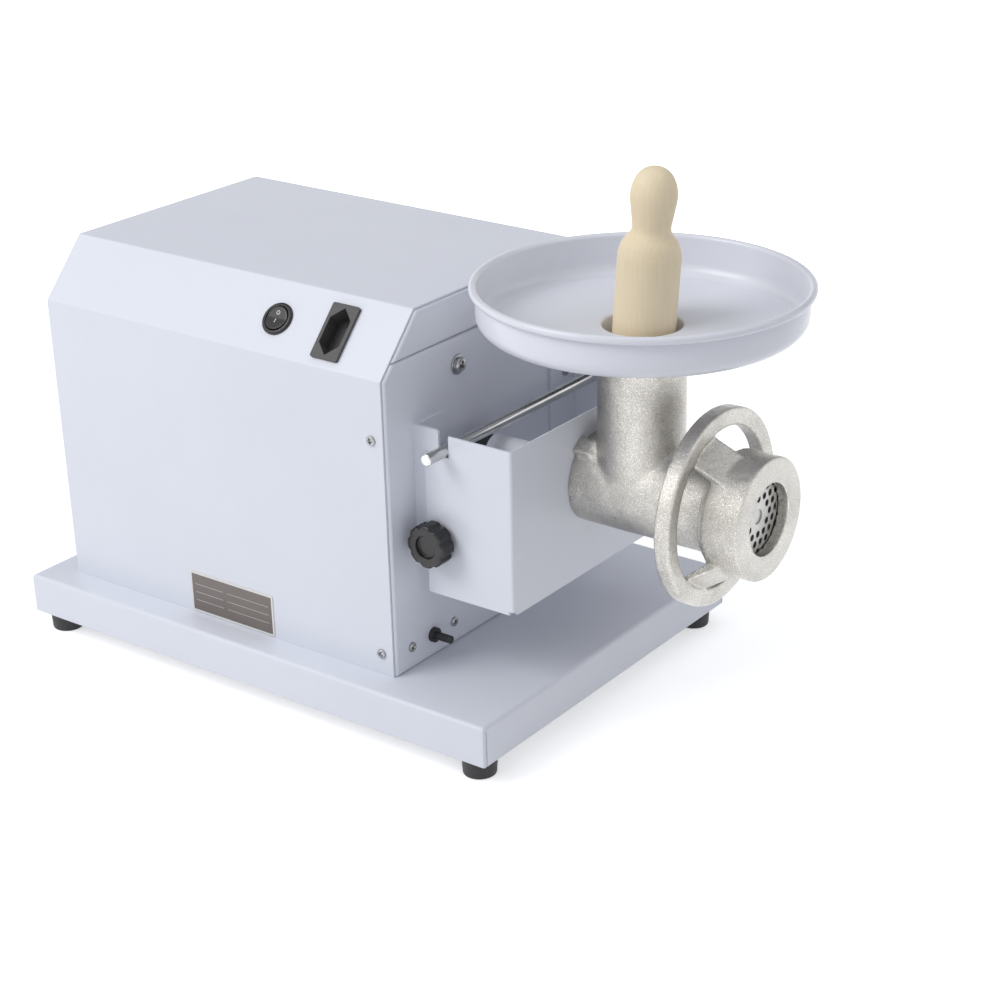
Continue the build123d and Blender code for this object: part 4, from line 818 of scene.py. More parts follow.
def joined(name: str, meshes: Sequence[Mesh]) -> Mesh:
    """One mesh made of several, which are then removed."""
    work = bmesh.new()
    for mesh in meshes:
        work.from_mesh(mesh)
        bpy.data.meshes.remove(mesh)
    return as_mesh(work, name)


def baked(piece: bpy.types.Object) -> Mesh:
    """Plain mesh of an object with its modifiers, whose object is then removed."""
    bpy.context.view_layer.update()
    graph = bpy.context.evaluated_depsgraph_get()
    mesh = bpy.data.meshes.new_from_object(piece.evaluated_get(graph), depsgraph=graph)
    bpy.data.objects.remove(piece)
    return mesh


def islands(node: bpy.types.Object) -> list[tuple[Vector, Vector]]:
    """Lowest and highest corner of each loose part of a node."""
    work = bmesh.new()
    work.from_mesh(node.data)
    bmesh.ops.remove_doubles(work, verts=work.verts, dist=MERGE)
    left = set(work.verts)
    boxes = []
    while left:
        stack = [left.pop()]
        members = []
        while stack:
            vertex = stack.pop()
            members.append(vertex.co.copy())
            others = {edge.other_vert(vertex) for edge in vertex.link_edges} & left
            left -= others
            stack += others
        low, high = (
            Vector(pick(point[axis] for point in members) for axis in range(3))
            for pick in (min, max)
        )
        boxes.append((low, high))
    work.free()
    return sorted(boxes, key=lambda box: tuple(round(value, 5) for value in box[0]))


class Recipe(Graph):
    """A geometry node tree with named inputs, run once on an object."""

    def __init__(self, name: str, on_mesh: bool = False) -> None:
        """Start the tree, with a mesh input where it works on one."""
        super().__init__(bpy.data.node_groups.new(name, "GeometryNodeTree"))
        self.tree.interface.new_socket(
            "Geometry", in_out="OUTPUT", socket_type="NodeSocketGeometry"
        )
        self.given = self.add("NodeGroupInput").outputs
        self.identifiers: dict[str, str] = {}
        if on_mesh:
            self.named("Geometry", "Mesh")
        self.named("Material", "Finish")

    def named(self, kind: str, *labels: str) -> list[Socket]:
        """Add named inputs of one kind and return their sockets inside the tree."""
        for label in labels:
            item = self.tree.interface.new_socket(
                label, in_out="INPUT", socket_type=f"NodeSocket{kind}"
            )
            self.identifiers[label] = item.identifier
        return [self.given[label] for label in labels]

    def close(self, geometry: Node) -> Recipe:
        """End the tree in real geometry that carries its finish."""
        real = self.add("GeometryNodeRealizeInstances", [geometry])
        inputs = {"Geometry": real, "Material": self.given["Finish"]}
        self.add("NodeGroupOutput", [self.add("GeometryNodeSetMaterial", inputs)])
        return self

    def ring(self, resolution: int, radius: object) -> Node:
        """A circle as a curve."""
        inputs = {"Resolution": resolution, "Radius": radius}
        return self.add("GeometryNodeCurvePrimitiveCircle", inputs, mode="RADIUS")

    def moved(self, geometry: Node, start: Socket, turn: Socket) -> Node:
        """Geometry turned and then moved to its start."""
        inputs = {"Geometry": geometry, "Translation": start, "Rotation": turn}
        return self.add("GeometryNodeTransform", inputs)

    def run(self, name: str, finish: Material, mesh: Mesh | None = None, **values: object) -> Mesh:
        """Run the tree.

        Args:
            name: Name of the result.
            finish: Its material.
            mesh: The mesh it works on, where it needs one.
            **values: Value of each named input, with underscores for spaces.

        Returns:
            The resulting plain mesh.
        """
        piece = link(name, mesh or bpy.data.meshes.new(name))
        modifier = piece.modifiers.new(name, "NODES")
        modifier.node_group = self.tree
        for label, value in (values | {"Finish": finish}).items():
            modifier[self.identifiers[spaced(label)]] = value
        return cleaned(baked(piece))


def scatter_recipe() -> Recipe:
    """Copies of one part on points, each facing the way its point says."""
    recipe = Recipe("Scatter", on_mesh=True)
    (model,) = recipe.named("Object", "Part")
    (seed,) = recipe.named("Int", "Seed")
    (widest,) = recipe.named("Float", "Spin")
    part = recipe.add("GeometryNodeObjectInfo", {"Object": model})
    heading = recipe.add(
        "GeometryNodeInputNamedAttribute", {"Name": "heading"}, data_type="FLOAT_VECTOR"
    )
    inputs = {"Vector": heading.outputs["Attribute"]}
    aligned = recipe.add("FunctionNodeAlignRotationToVector", inputs, axis="Z")
    chance = recipe.add("FunctionNodeRandomValue", {"Seed": seed}, data_type="FLOAT")
    drawn = next(socket for socket in chance.outputs if socket.enabled)
    turn = recipe.add("ShaderNodeCombineXYZ", {"Z": recipe.times(drawn, widest)})
    inputs = {"Rotation": aligned, "Rotate By": turn}
    rotated = recipe.add("FunctionNodeRotateRotation", inputs, rotation_space="LOCAL")
    inputs = {"Points": recipe.given["Mesh"], "Instance": part.outputs["Geometry"]}
    inputs |= {"Rotation": rotated}
    return recipe.close(recipe.add("GeometryNodeInstanceOnPoints", inputs))


def thread_recipe() -> Recipe:
    """A helical ridge about Z, turned to an axis and moved to its start."""
    recipe = Recipe("Thread")
    radius, turns, length, depth = recipe.named("Float", "Radius", "Turns", "Length", "Depth")
    start, turn = recipe.named("Vector", "Start", "Turn")
    inputs = {"Resolution": 56, "Rotations": turns, "Height": length}
    inputs |= {"Start Radius": radius, "End Radius": radius}
    spiral = recipe.add("GeometryNodeCurveSpiral", inputs)
    inputs = {"Curve": spiral, "Profile Curve": recipe.ring(4, depth), "Fill Caps": True}
    swept = recipe.add("GeometryNodeCurveToMesh", inputs)
    return recipe.close(recipe.moved(swept, start, turn))


def perforation_recipe() -> Recipe:
    """Rims of a staggered field of holes inside a ring."""
    recipe = Recipe("Perforations")
    pitch, hole, field, clear, rim = recipe.named(
        "Float", "Pitch", "Hole Radius", "Field Radius", "Clear Radius", "Rim"
    )
    start, turn = recipe.named("Vector", "Start", "Turn")
    count = 13
    rise = recipe.times(pitch, math.sin(math.radians(60)))
    inputs: dict[str, object] = {"Vertices X": count, "Vertices Y": count}
    inputs["Size X"] = recipe.times(pitch, float(count - 1))
    inputs["Size Y"] = recipe.times(rise, float(count - 1))
    grid = recipe.add("GeometryNodeMeshGrid", inputs)
    place = recipe.add("GeometryNodeInputPosition")
    parts = recipe.add("ShaderNodeSeparateXYZ", [place])
    row = recipe.maths("ROUND", recipe.maths("DIVIDE", parts.outputs["Y"], rise))
    odd = recipe.times(recipe.maths("FLOORED_MODULO", row, 2.0), 0.5)
    shift = recipe.add("ShaderNodeCombineXYZ", {"X": recipe.times(odd, pitch)})
    inputs = {"Geometry": grid.outputs["Mesh"], "Offset": shift}
    staggered = recipe.add("GeometryNodeSetPosition", inputs)
    reach = recipe.vectors("LENGTH", place)
    outside = recipe.maths("GREATER_THAN", reach, field)
    near = recipe.maths("LESS_THAN", reach, clear)
    inputs = {"Geometry": staggered, "Selection": recipe.maths("MAXIMUM", outside, near)}
    kept = recipe.add("GeometryNodeDeleteGeometry", inputs, domain="POINT")
    inputs = {"Curve": recipe.ring(20, hole), "Profile Curve": recipe.ring(6, rim)}
    edge = recipe.add("GeometryNodeCurveToMesh", inputs)
    placed = recipe.add("GeometryNodeInstanceOnPoints", {"Points": kept, "Instance": edge})
    return recipe.close(recipe.moved(placed, start, turn))


def sand_skin_recipe() -> Recipe:
    """Pushes a casting's outer skin in and out as a sand mould leaves it."""
    recipe = Recipe("Sand Skin", on_mesh=True)
    (centre,) = recipe.named("Vector", "Centre")
    clear, scale, depth = recipe.named("Float", "Machined Radius", "Scale", "Depth")
    place = recipe.add("GeometryNodeInputPosition")
    away = recipe.vectors("SUBTRACT", place, centre)
    reach = recipe.vectors("LENGTH", recipe.vectors("MULTIPLY", away, (0.0, 1.0, 1.0)))
    rough = recipe.noise(place, scale, 3.0, 0.6)
    push = recipe.times(recipe.minus(rough, 0.62), depth)
    inputs = {0: recipe.add("GeometryNodeInputNormal"), "Scale": push}
    offset = recipe.add("ShaderNodeVectorMath", inputs, operation="SCALE")
    inputs = {"Geometry": recipe.given["Mesh"], "Offset": offset}
    inputs["Selection"] = recipe.maths("GREATER_THAN", reach, clear)
    return recipe.close(recipe.add("GeometryNodeSetPosition", inputs))


# ---- The workshop: finishes, recipes and how pieces are handed in --------------------


class Workshop:
    """Holds the frame, the finishes and the recipes, and sets pieces in place."""

    def __init__(self, frame: dict) -> None:
        """Make every shared recipe and finish."""
        self.frame = frame
        self.scatter = scatter_recipe()
        self.thread = thread_recipe()
        self.perforations = perforation_recipe()
        self.sand_skin = sand_skin_recipe()
        self.head_axis = axis = middle("ring_nut")
        self.pan_axis = middle("feed_pan")
        rod = middle("hang_rod")
        finishes = {
            Slot.ENAMEL: Enamel(),
            Slot.RUBBER: Plastic("foot_rubber", shade(44, 44, 47), 0.62, 4e-5, 0.3),
            Slot.ZINC: TurnedMetal("zinc_plate", shade(170, 171, 173), 0.3, axis, ALONG_X),
            Slot.STEEL: TurnedMetal("ground_steel", shade(196, 196, 194), 0.3, axis, ALONG_X),
            Slot.GLOSS_BLACK: Plastic("black_bakelite", shade(14, 14, 16), 0.26, 8e-6, 0.04),
            Slot.MATT_BLACK: Plastic("black_nylon", shade(40, 40, 43), 0.5, 2e-5, 0.2),
            Slot.BRASS: CastMetal("contact_brass", shade(205, 164, 96), 0.3, 2e-5),
            Slot.NAMEPLATE: RatingPlate(*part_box("nameplate")),
            Slot.NYLON: Plastic("natural_nylon", shade(240, 241, 246), 0.38, 2e-5, 0.1),
            Slot.ALUMINIUM: CastMetal("die_cast_aluminium", shade(190, 192, 195)),
            Slot.TINNED_IRON: TinnedCasting(),
            "rod": TurnedMetal(
                "bright_rod", shade(214, 214, 212), 0.16, rod, ALONG_Y, 700.0, 8e-6
            ),
            "copper": Laminated("wound_copper", shade(196, 116, 70), 0.0009),
            "laminations": Laminated("core_sheets", shade(120, 122, 126), 0.0007),
            "can": CastMetal("drawn_can", shade(205, 206, 208), 0.25, 1e-5),
            "grey_sheet": Plastic("grey_lacquer", shade(150, 153, 158), 0.4, 2e-5, 0.2),
            "outlet": Plastic("outlet_shell", shade(72, 70, 71), 0.45, 2e-5, 0.15),
            "mark": Plastic("white_mark", shade(238, 238, 236), 0.5, 1e-5, 0.05),
            "spun": SpunEnamel(self.pan_axis),
        }
        self.finishes: dict[str, Material] = {
            key: finish.make() for key, finish in finishes.items()
        }

    def dress(self, overrides: dict[str, str]) -> None:
        """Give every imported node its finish.

        Args:
            overrides: Finish key of each node that doesn't take its slot's own.
        """
        for entry in self.frame["record"]["subparts"]:
            node = self.frame["nodes"][entry["node"]]
            finish = self.finishes.get(overrides.get(entry["node"], entry["material_slot"]))
            if finish is not None:
                node.data.materials.clear()
                node.data.materials.append(finish)

    def joint(self, name: str) -> dict:
        """The record's entry of a joint."""
        return next(joint for joint in self.frame["joints"] if joint["name"] == name)

    def hand_in(
        self,
        name: str,
        mesh: Mesh,
        slot: Slot,
        body: str,
        *replaces: str,
        finish: Material | None = None,
    ) -> None:
        """Put a finished mesh in the scene on its body.

        Args:
            name: The piece's name.
            mesh: Its mesh, in place.
            slot: The record's slot it takes its finish from.
            body: The body it rides on.
            *replaces: Nodes that it stands for.
            finish: Its material, where it isn't the slot's own.
        """
        mesh.materials.clear()
        mesh.materials.append(finish or self.finishes[slot])
        for polygon in mesh.polygons:
            polygon.material_index = 0
        piece = link(name, mesh)
        if replaces:
            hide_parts(*replaces)
        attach(piece, body)
        LOG.info("%s: %d faces on %s", name, len(mesh.polygons), body)

    def spread(
        self,
        name: str,
        part: Mesh,
        spots: Sequence[tuple[Vector, Vector]],
        slot: Slot,
        spin: float = 0.0,
        seed: int = 0,
    ) -> Mesh:
        """Copies of a part on several spots, made by the scatter recipe.

        Args:
            name: Name of the result.
            part: The part, made about Z from its seat.
            spots: Seat and heading of each copy.
            slot: The slot whose finish the copies take.
            spin: Widest random turn of a copy about its heading, in radians.
            seed: Seed of those turns.

        Returns:
            One plain mesh.
        """
        model = link(f"{name}_model", part)
        points = bpy.data.meshes.new(f"{name}_points")
        points.from_pydata([tuple(spot) for spot, _ in spots], [], [])
        heading = points.attributes.new("heading", "FLOAT_VECTOR", "POINT")
        for index, (_, direction) in enumerate(spots):
            heading.data[index].vector = direction
        mesh = self.scatter.run(
            name, self.finishes[slot], points, Part=model, Seed=seed, Spin=spin
        )
        bpy.data.objects.remove(model)
        return mesh

    def cast_copy(
        self, node: str, voxel: float, rounds: int, machined: Callable[[Vector], bool]
    ) -> Mesh:
        """A node's own form with the soft corners of a casting.

        Args:
            node: The node to copy.
            voxel: Size of the new skin's cells.
            rounds: How many times the corners are softened.
            machined: Says which points keep their sharp form.

        Returns:
            The new mesh.
        """
        piece = link(f"{node}_skin", cleaned(self.frame["nodes"][node].data.copy()))
        skin = piece.modifiers.new("Skin", "REMESH")
        skin.mode = "VOXEL"
        skin.voxel_size = voxel
        result = baked(piece)
        work = bmesh.new()
        work.from_mesh(result)
        soft = [vertex for vertex in work.verts if not machined(vertex.co)]
        axes = {f"use_axis_{axis}": True for axis in "xyz"}
        for _ in range(rounds):
            bmesh.ops.smooth_vert(work, verts=soft, factor=0.5, **axes)
        work.to_mesh(result)
        work.free()
        return result


# ---- Sub-assemblies ------------------------------------------------------------------


@dataclass
class Assembly:
    """Pieces that are made together in a workshop."""

    shop: Workshop


@dataclass
class FeedPan(Assembly):
    """Round white pan with a rolled rim, on a spigot in the neck."""

    sheet: float = 1.2 * MM
    bead: float = 2.6 * MM
    spigot: float = 12.0 * MM
    hole: float = 26.0 * MM
    floor_corner: float = 8.0 * MM
    foot_inset: float = 6.5 * MM
    wall_bend: float = 4.0 * MM

    def build(self) -> None:
        """Turn the pan and put it in place."""
        low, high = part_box("feed_pan")
        centre = self.shop.pan_axis
        bead_middle = (high.x - low.x) / 2 - self.bead
        wall = bead_middle - self.bead + self.sheet
        floor, top = low.z + self.spigot, high.z - self.bead
        foot, spigot_wall = wall - self.foot_inset, self.hole + 1.3 * MM
        inside = eased(
            [
                (self.hole, low.z, 0),
                (self.hole, floor + self.sheet, 2.0 * MM),
                (foot, floor + self.sheet, self.floor_corner),
                (wall - self.sheet, floor + 7 * MM, self.wall_bend),
                (wall - self.sheet, top, 0),
            ],
            8,
        )
        roll = arc((bead_middle, top), self.bead, 172, -140, 22)
        outside = eased(
            [
                (wall, top - 3 * MM, 0),
                (wall, floor + 6 * MM, self.wall_bend),
                (foot + 0.6 * MM, floor, self.floor_corner),
                (spigot_wall, floor, 1.0 * MM),
                (spigot_wall, low.z, 0),
            ],
            8,
        )
        mesh = turned("feed_pan_spun", inside + roll + outside, 160, closed=True)
        mesh.transform(Matrix.Translation((centre.x, centre.y, 0)))
        finish = self.shop.finishes["spun"]
        self.shop.hand_in(
            "spun_feed_pan", mesh, Slot.ENAMEL, "feed_pan", "feed_pan", finish=finish
        )


@dataclass
class Pusher(Assembly):
    """Turned wooden pusher that leans in the throat."""

    body: float = 20.3 * MM
    shoulder: float = 132.0 * MM
    waist: float = 12.4 * MM
    waist_height: float = 149.5 * MM
    bulb: float = 15.0 * MM
    bulb_height: float = 168.5 * MM

    def build(self) -> None:
        """Turn the pusher and set it on its leaning axis."""
        axis = Vector(self.shop.joint("pusher_slide")["axis"]).normalized()
        side = axis.cross(Vector((0, 1, 0))).normalized()
        points = [vertex.co for vertex in self.shop.frame["nodes"]["pusher"].data.vertices]
        centre = Vector((0, 0, 0))
        for direction in (side, axis.cross(side)):
            reach = [point.dot(direction) for point in points]
            centre += direction * (min(reach) + max(reach)) / 2
        heights = [point.dot(axis) for point in points]
        foot, length = centre + axis * min(heights), max(heights) - min(heights)
        corners = [(0, 0, 0), (self.body, 0, 1.6 * MM), (self.body, self.shoulder, 0)]
        grip = flowing(
            [
                (self.body, self.shoulder),
                (self.body - 2.2 * MM, self.shoulder + 7.5 * MM),
                (self.waist + 1.6 * MM, self.waist_height - 4.5 * MM),
                (self.waist, self.waist_height),
                (self.waist + 1.2 * MM, self.waist_height + 9 * MM),
                (self.bulb, self.bulb_height),
                (self.bulb * 0.96, self.bulb_height + 6.5 * MM),
                (self.bulb * 0.81, self.bulb_height + 12.5 * MM),
                (self.bulb * 0.58, length - 2.9 * MM),
                (self.bulb * 0.3, length - 0.6 * MM),
                (0, length),
            ],
            7,
        )
        mesh = turned("pusher_turned", eased(corners, 6) + grip[1:], 96)
        finish = TurnedWood(axis, foot).make()
        self.shop.hand_in(
            "turned_pusher", facing(mesh, foot, axis), Slot.WOOD, "pusher", "pusher", finish=finish
        )


@dataclass
class GrinderHead(Assembly):
    """Cast head, its collar thread, ring nut and perforated plate."""

    collar_radius: float = 37.0 * MM
    collar_length: float = 20.0 * MM
    thread_pitch: float = 3.0 * MM
    thread_depth: float = 0.6 * MM
    machined_band: float = 5.0 * MM
    bore_radius: float = 29.0 * MM
    neck_radius: float = 29.2 * MM
    hub_radius: float = 41.0 * MM
    plate_hole: float = 2.4 * MM
    plate_pitch: float = 7.0 * MM
    plate_field: float = 27.0 * MM
    plate_clear: float = 9.3 * MM
    rim: float = 0.18 * MM

    def __post_init__(self) -> None:
        """Look up the head's axis and its finish."""
        self.axis = self.shop.head_axis
        self.tinned = self.shop.finishes[Slot.TINNED_IRON]

    def build(self) -> None:
        """Build the casting, its thread, the nut and the plate's rims."""
        self.casting()
        self.thread()
        self.nut()
        self.rims()

    def reach(self, point: Vector) -> float:
        """Distance of a point from the head's axis."""
        return math.hypot(point.y - self.axis.y, point.z - self.axis.z)

    def on_axis(self, x: float) -> Vector:
        """Point on the head's axis at a given X."""
        return Vector((x, self.axis.y, self.axis.z))

    def casting(self) -> None:
        """Soften the head's form into a sand casting."""
        low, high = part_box("head_casting")
        collar_rear = high.x - self.collar_length
        neck, axis = self.shop.pan_axis, self.axis

        def machined(point: Vector) -> bool:
            """Faces that are cut after casting."""
            from_neck = math.hypot(point.x - neck.x, point.y - neck.y)
            rise = point.z - axis.z
            return (
                point.x > collar_rear + 0.5 * MM
                or point.x < low.x + 1 * MM
                or point.z > high.z - 2 * MM
                or (self.reach(point) < self.bore_radius and rise <= 30 * MM)
                or (from_neck < self.neck_radius - 1.6 * MM and rise > 26 * MM)
            )

        mesh = self.shop.sand_skin.run(
            "sand_cast_head",
            self.tinned,
            self.shop.cast_copy("head_casting", 1.3 * MM, 9, machined),
            Centre=axis,
            Machined_Radius=self.bore_radius,
            Scale=150.0,
            Depth=0.5 * MM,
        )
        for vertex in mesh.vertices:
            spot = vertex.co
            out = Vector((spot.x - neck.x, spot.y - neck.y))
            on_band = spot.z > high.z - self.machined_band
            if on_band and out.length > self.neck_radius - 0.9 * MM:
                out = out.normalized() * (self.neck_radius - 0.45 * MM)
                spot.x, spot.y = neck.x + out.x, neck.y + out.y
            reach = self.reach(spot)
            if spot.x > collar_rear + 1 * MM and reach > self.collar_radius:
                scale = self.collar_radius / reach
                spot.y = axis.y + (spot.y - axis.y) * scale
                spot.z = axis.z + (spot.z - axis.z) * scale
        self.shop.hand_in("sand_cast_head", mesh, Slot.TINNED_IRON, "machine", "head_casting")

    def thread(self) -> None:
        """Cut the collar's thread as a low helical ridge."""
        length = self.collar_length - 4 * MM
        mesh = self.shop.thread.run(
            "collar_thread",
            self.tinned,
            Radius=self.collar_radius - 0.35 * MM,
            Turns=length / self.thread_pitch,
            Length=length,
            Depth=self.thread_depth,
            Start=self.on_axis(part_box("head_casting")[1].x - length - 1 * MM),
            Turn=Vector((0, math.pi / 2, 0)),
        )
        self.shop.hand_in("collar_thread", mesh, Slot.TINNED_IRON, "machine")

    def nut(self) -> None:
        """Soften the ring nut's form into a casting with a turned face."""
        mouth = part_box("ring_nut")[1].x

        def machined(point: Vector) -> bool:
            """The thread's bore and the turned mouth."""
            return self.reach(point) < self.hub_radius - 3.0 * MM and point.x < mouth - 1.2 * MM

        mesh = self.shop.sand_skin.run(
            "cast_ring_nut",
            self.tinned,
            self.shop.cast_copy("ring_nut", 0.9 * MM, 2, machined),
            Centre=self.axis,
            Machined_Radius=self.hub_radius - 1.0 * MM,
            Scale=190.0,
            Depth=0.36 * MM,
        )
        self.shop.hand_in("cast_ring_nut", mesh, Slot.TINNED_IRON, "ring_nut", "ring_nut")

    def rims(self) -> None:
        """Break the edge of each hole in the plate's front face."""
        mesh = self.shop.perforations.run(
            "plate_hole_rims",
            self.shop.finishes[Slot.STEEL],
            Pitch=self.plate_pitch,
            Hole_Radius=self.plate_hole,
            Field_Radius=self.plate_field,
            Clear_Radius=self.plate_clear,
            Rim=self.rim,
            Start=self.on_axis(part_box("perforated_plate")[1].x - 0.05 * MM),
            Turn=Vector((math.pi / 2, 0, math.pi / 2)),
        )
        self.shop.hand_in("plate_hole_rims", mesh, Slot.STEEL, "cutter_plate")


@dataclass(frozen=True)
class Screw:
    """A pan-head screw with a cross recess, seated at zero and facing +Z."""

    head: float
    height: float
    shank: float
    length: float
    crown_steps: int = 14
    roundness: float = 0.8

    def mesh(self) -> Mesh:
        """Turn the screw and press the cross into its crown."""
        side = self.height * 0.42
        tip = self.shank * 0.8
        profile: Profile = [(0, -self.length), (tip, -self.length)]
        profile += [(self.shank, -self.length + self.shank * 0.4), (self.shank, 0)]
        profile += [(self.head, 0), (self.head, side)]
        for step in range(1, self.crown_steps + 1):
            angle = step / self.crown_steps * math.pi / 2
            last = step == self.crown_steps
            radius = 0.0 if last else self.head * math.cos(angle) ** self.roundness
            rise = (self.height - side) * math.sin(angle) ** self.roundness
            profile.append((radius, side + rise))
        mesh = turned("cross_screw", profile, 64)
        slot, reach, depth = self.head * 0.2, self.head * 0.62, self.height * 0.75
        for vertex in mesh.vertices:
            along, across = sorted((abs(vertex.co.x), abs(vertex.co.y)), reverse=True)
            if vertex.co.z > side and across < slot and along < reach:
                vertex.co.z -= depth * min(1.0, (reach - along) / (reach * 0.35))
        return cleaned(mesh, 30.0)


@dataclass
class Fasteners(Assembly):
    """Cross-recessed screws of the housing, with washers on the large ones."""

    small: Screw = Screw(3.4 * MM, 1.8 * MM, 1.5 * MM, 6 * MM)
    large: Screw = Screw(5.0 * MM, 3.6 * MM, 2.5 * MM, 9 * MM)
    washer: float = 7.0 * MM
    washer_height: float = 1.2 * MM
    spin: float = 1.5

    def build(self) -> None:
        """Make both sizes and set them on their nodes' places."""
        nodes = self.shop.frame["nodes"]
        spots = []
        for low, high in islands(nodes["small_screws"]):
            spot, heading = (low + high) / 2, Heading.NOSE
            if high.y - low.y > high.x - low.x:
                heading, spot.y = Heading.FRONT, low.y + self.small.height
            else:
                spot.x = high.x - self.small.height
            spots.append((spot, heading.vector))
        self.place("small", self.small.mesh(), spots, 4)
        spots = []
        for low, high in islands(nodes["frame_screws"]):
            spot = (low + high) / 2
            spot.x = high.x - self.large.height - self.washer_height
            spots.append((spot, Heading.NOSE.vector))
        ring = eased(
            [
                (self.large.shank, 0, 0),
                (self.washer, 0, 0.2 * MM),
                (self.washer, self.washer_height, 0.4 * MM),
                (self.large.shank, self.washer_height, 0),
            ],
            3,
        )
        screw = self.large.mesh()
        screw.transform(Matrix.Translation((0, 0, self.washer_height)))
        plate = turned("washer", ring, 48, closed=True)
        self.place("large", joined("large_screw", [plate, screw]), spots, 9)

    def place(
        self, size: str, screw: Mesh, spots: Sequence[tuple[Vector, Vector]], seed: int
    ) -> None:
        """Copy a screw to its spots and hand the copies in."""
        name = f"{size}_cross_screws"
        mesh = self.shop.spread(name, screw, spots, Slot.ZINC, self.spin, seed)
        node = "small_screws" if size == "small" else "frame_screws"
        self.shop.hand_in(name, mesh, Slot.ZINC, "machine", node)


@dataclass
class Knob(Assembly):
    """Lobed clamp knob."""

    lobes: int = 8
    bore: float = 3.05 * MM
    recess: float = 8.0 * MM
    recess_depth: float = 2.5 * MM
    flute: float = 1.5 * MM

    def build(self) -> None:
        """Mould the lobed knob about its stud."""
        low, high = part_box("clamp_knob")
        radius, depth = (high.x - low.x) / 2, high.y - low.y
        floor = depth - self.recess_depth
        profile = eased(
            [
                (self.bore, 0, 0),
                (radius * 0.62, 0, 0.6 * MM),
                (radius * 0.70, 1.2 * MM, 0.6 * MM),
                (radius, 1.6 * MM, 1.2 * MM),
                (radius, depth, 2.2 * MM),
                (self.recess, depth, 0.7 * MM),
                (self.recess - 0.5 * MM, floor, 0.5 * MM),
                (0, floor + 0.3 * MM, 0),
            ],
            6,
        )

        def lobed(reach: float, angle: float) -> float:
            """Radius between the knob's finger grooves."""
            share = max(0.0, (reach - radius * 0.72) / (radius * 0.28))
            groove = max(0.0, -math.cos(self.lobes * angle)) ** 1.5
            return reach - self.flute * share * groove

        mesh = turned("lobed_knob", profile, 192, flute=lobed)
        spot = middle("clamp_knob")
        spot.y = high.y
        facing(mesh, spot, Heading.FRONT.vector)
        self.shop.hand_in("lobed_clamp_knob", mesh, Slot.GLOSS_BLACK, "clamp_knob", "clamp_knob")


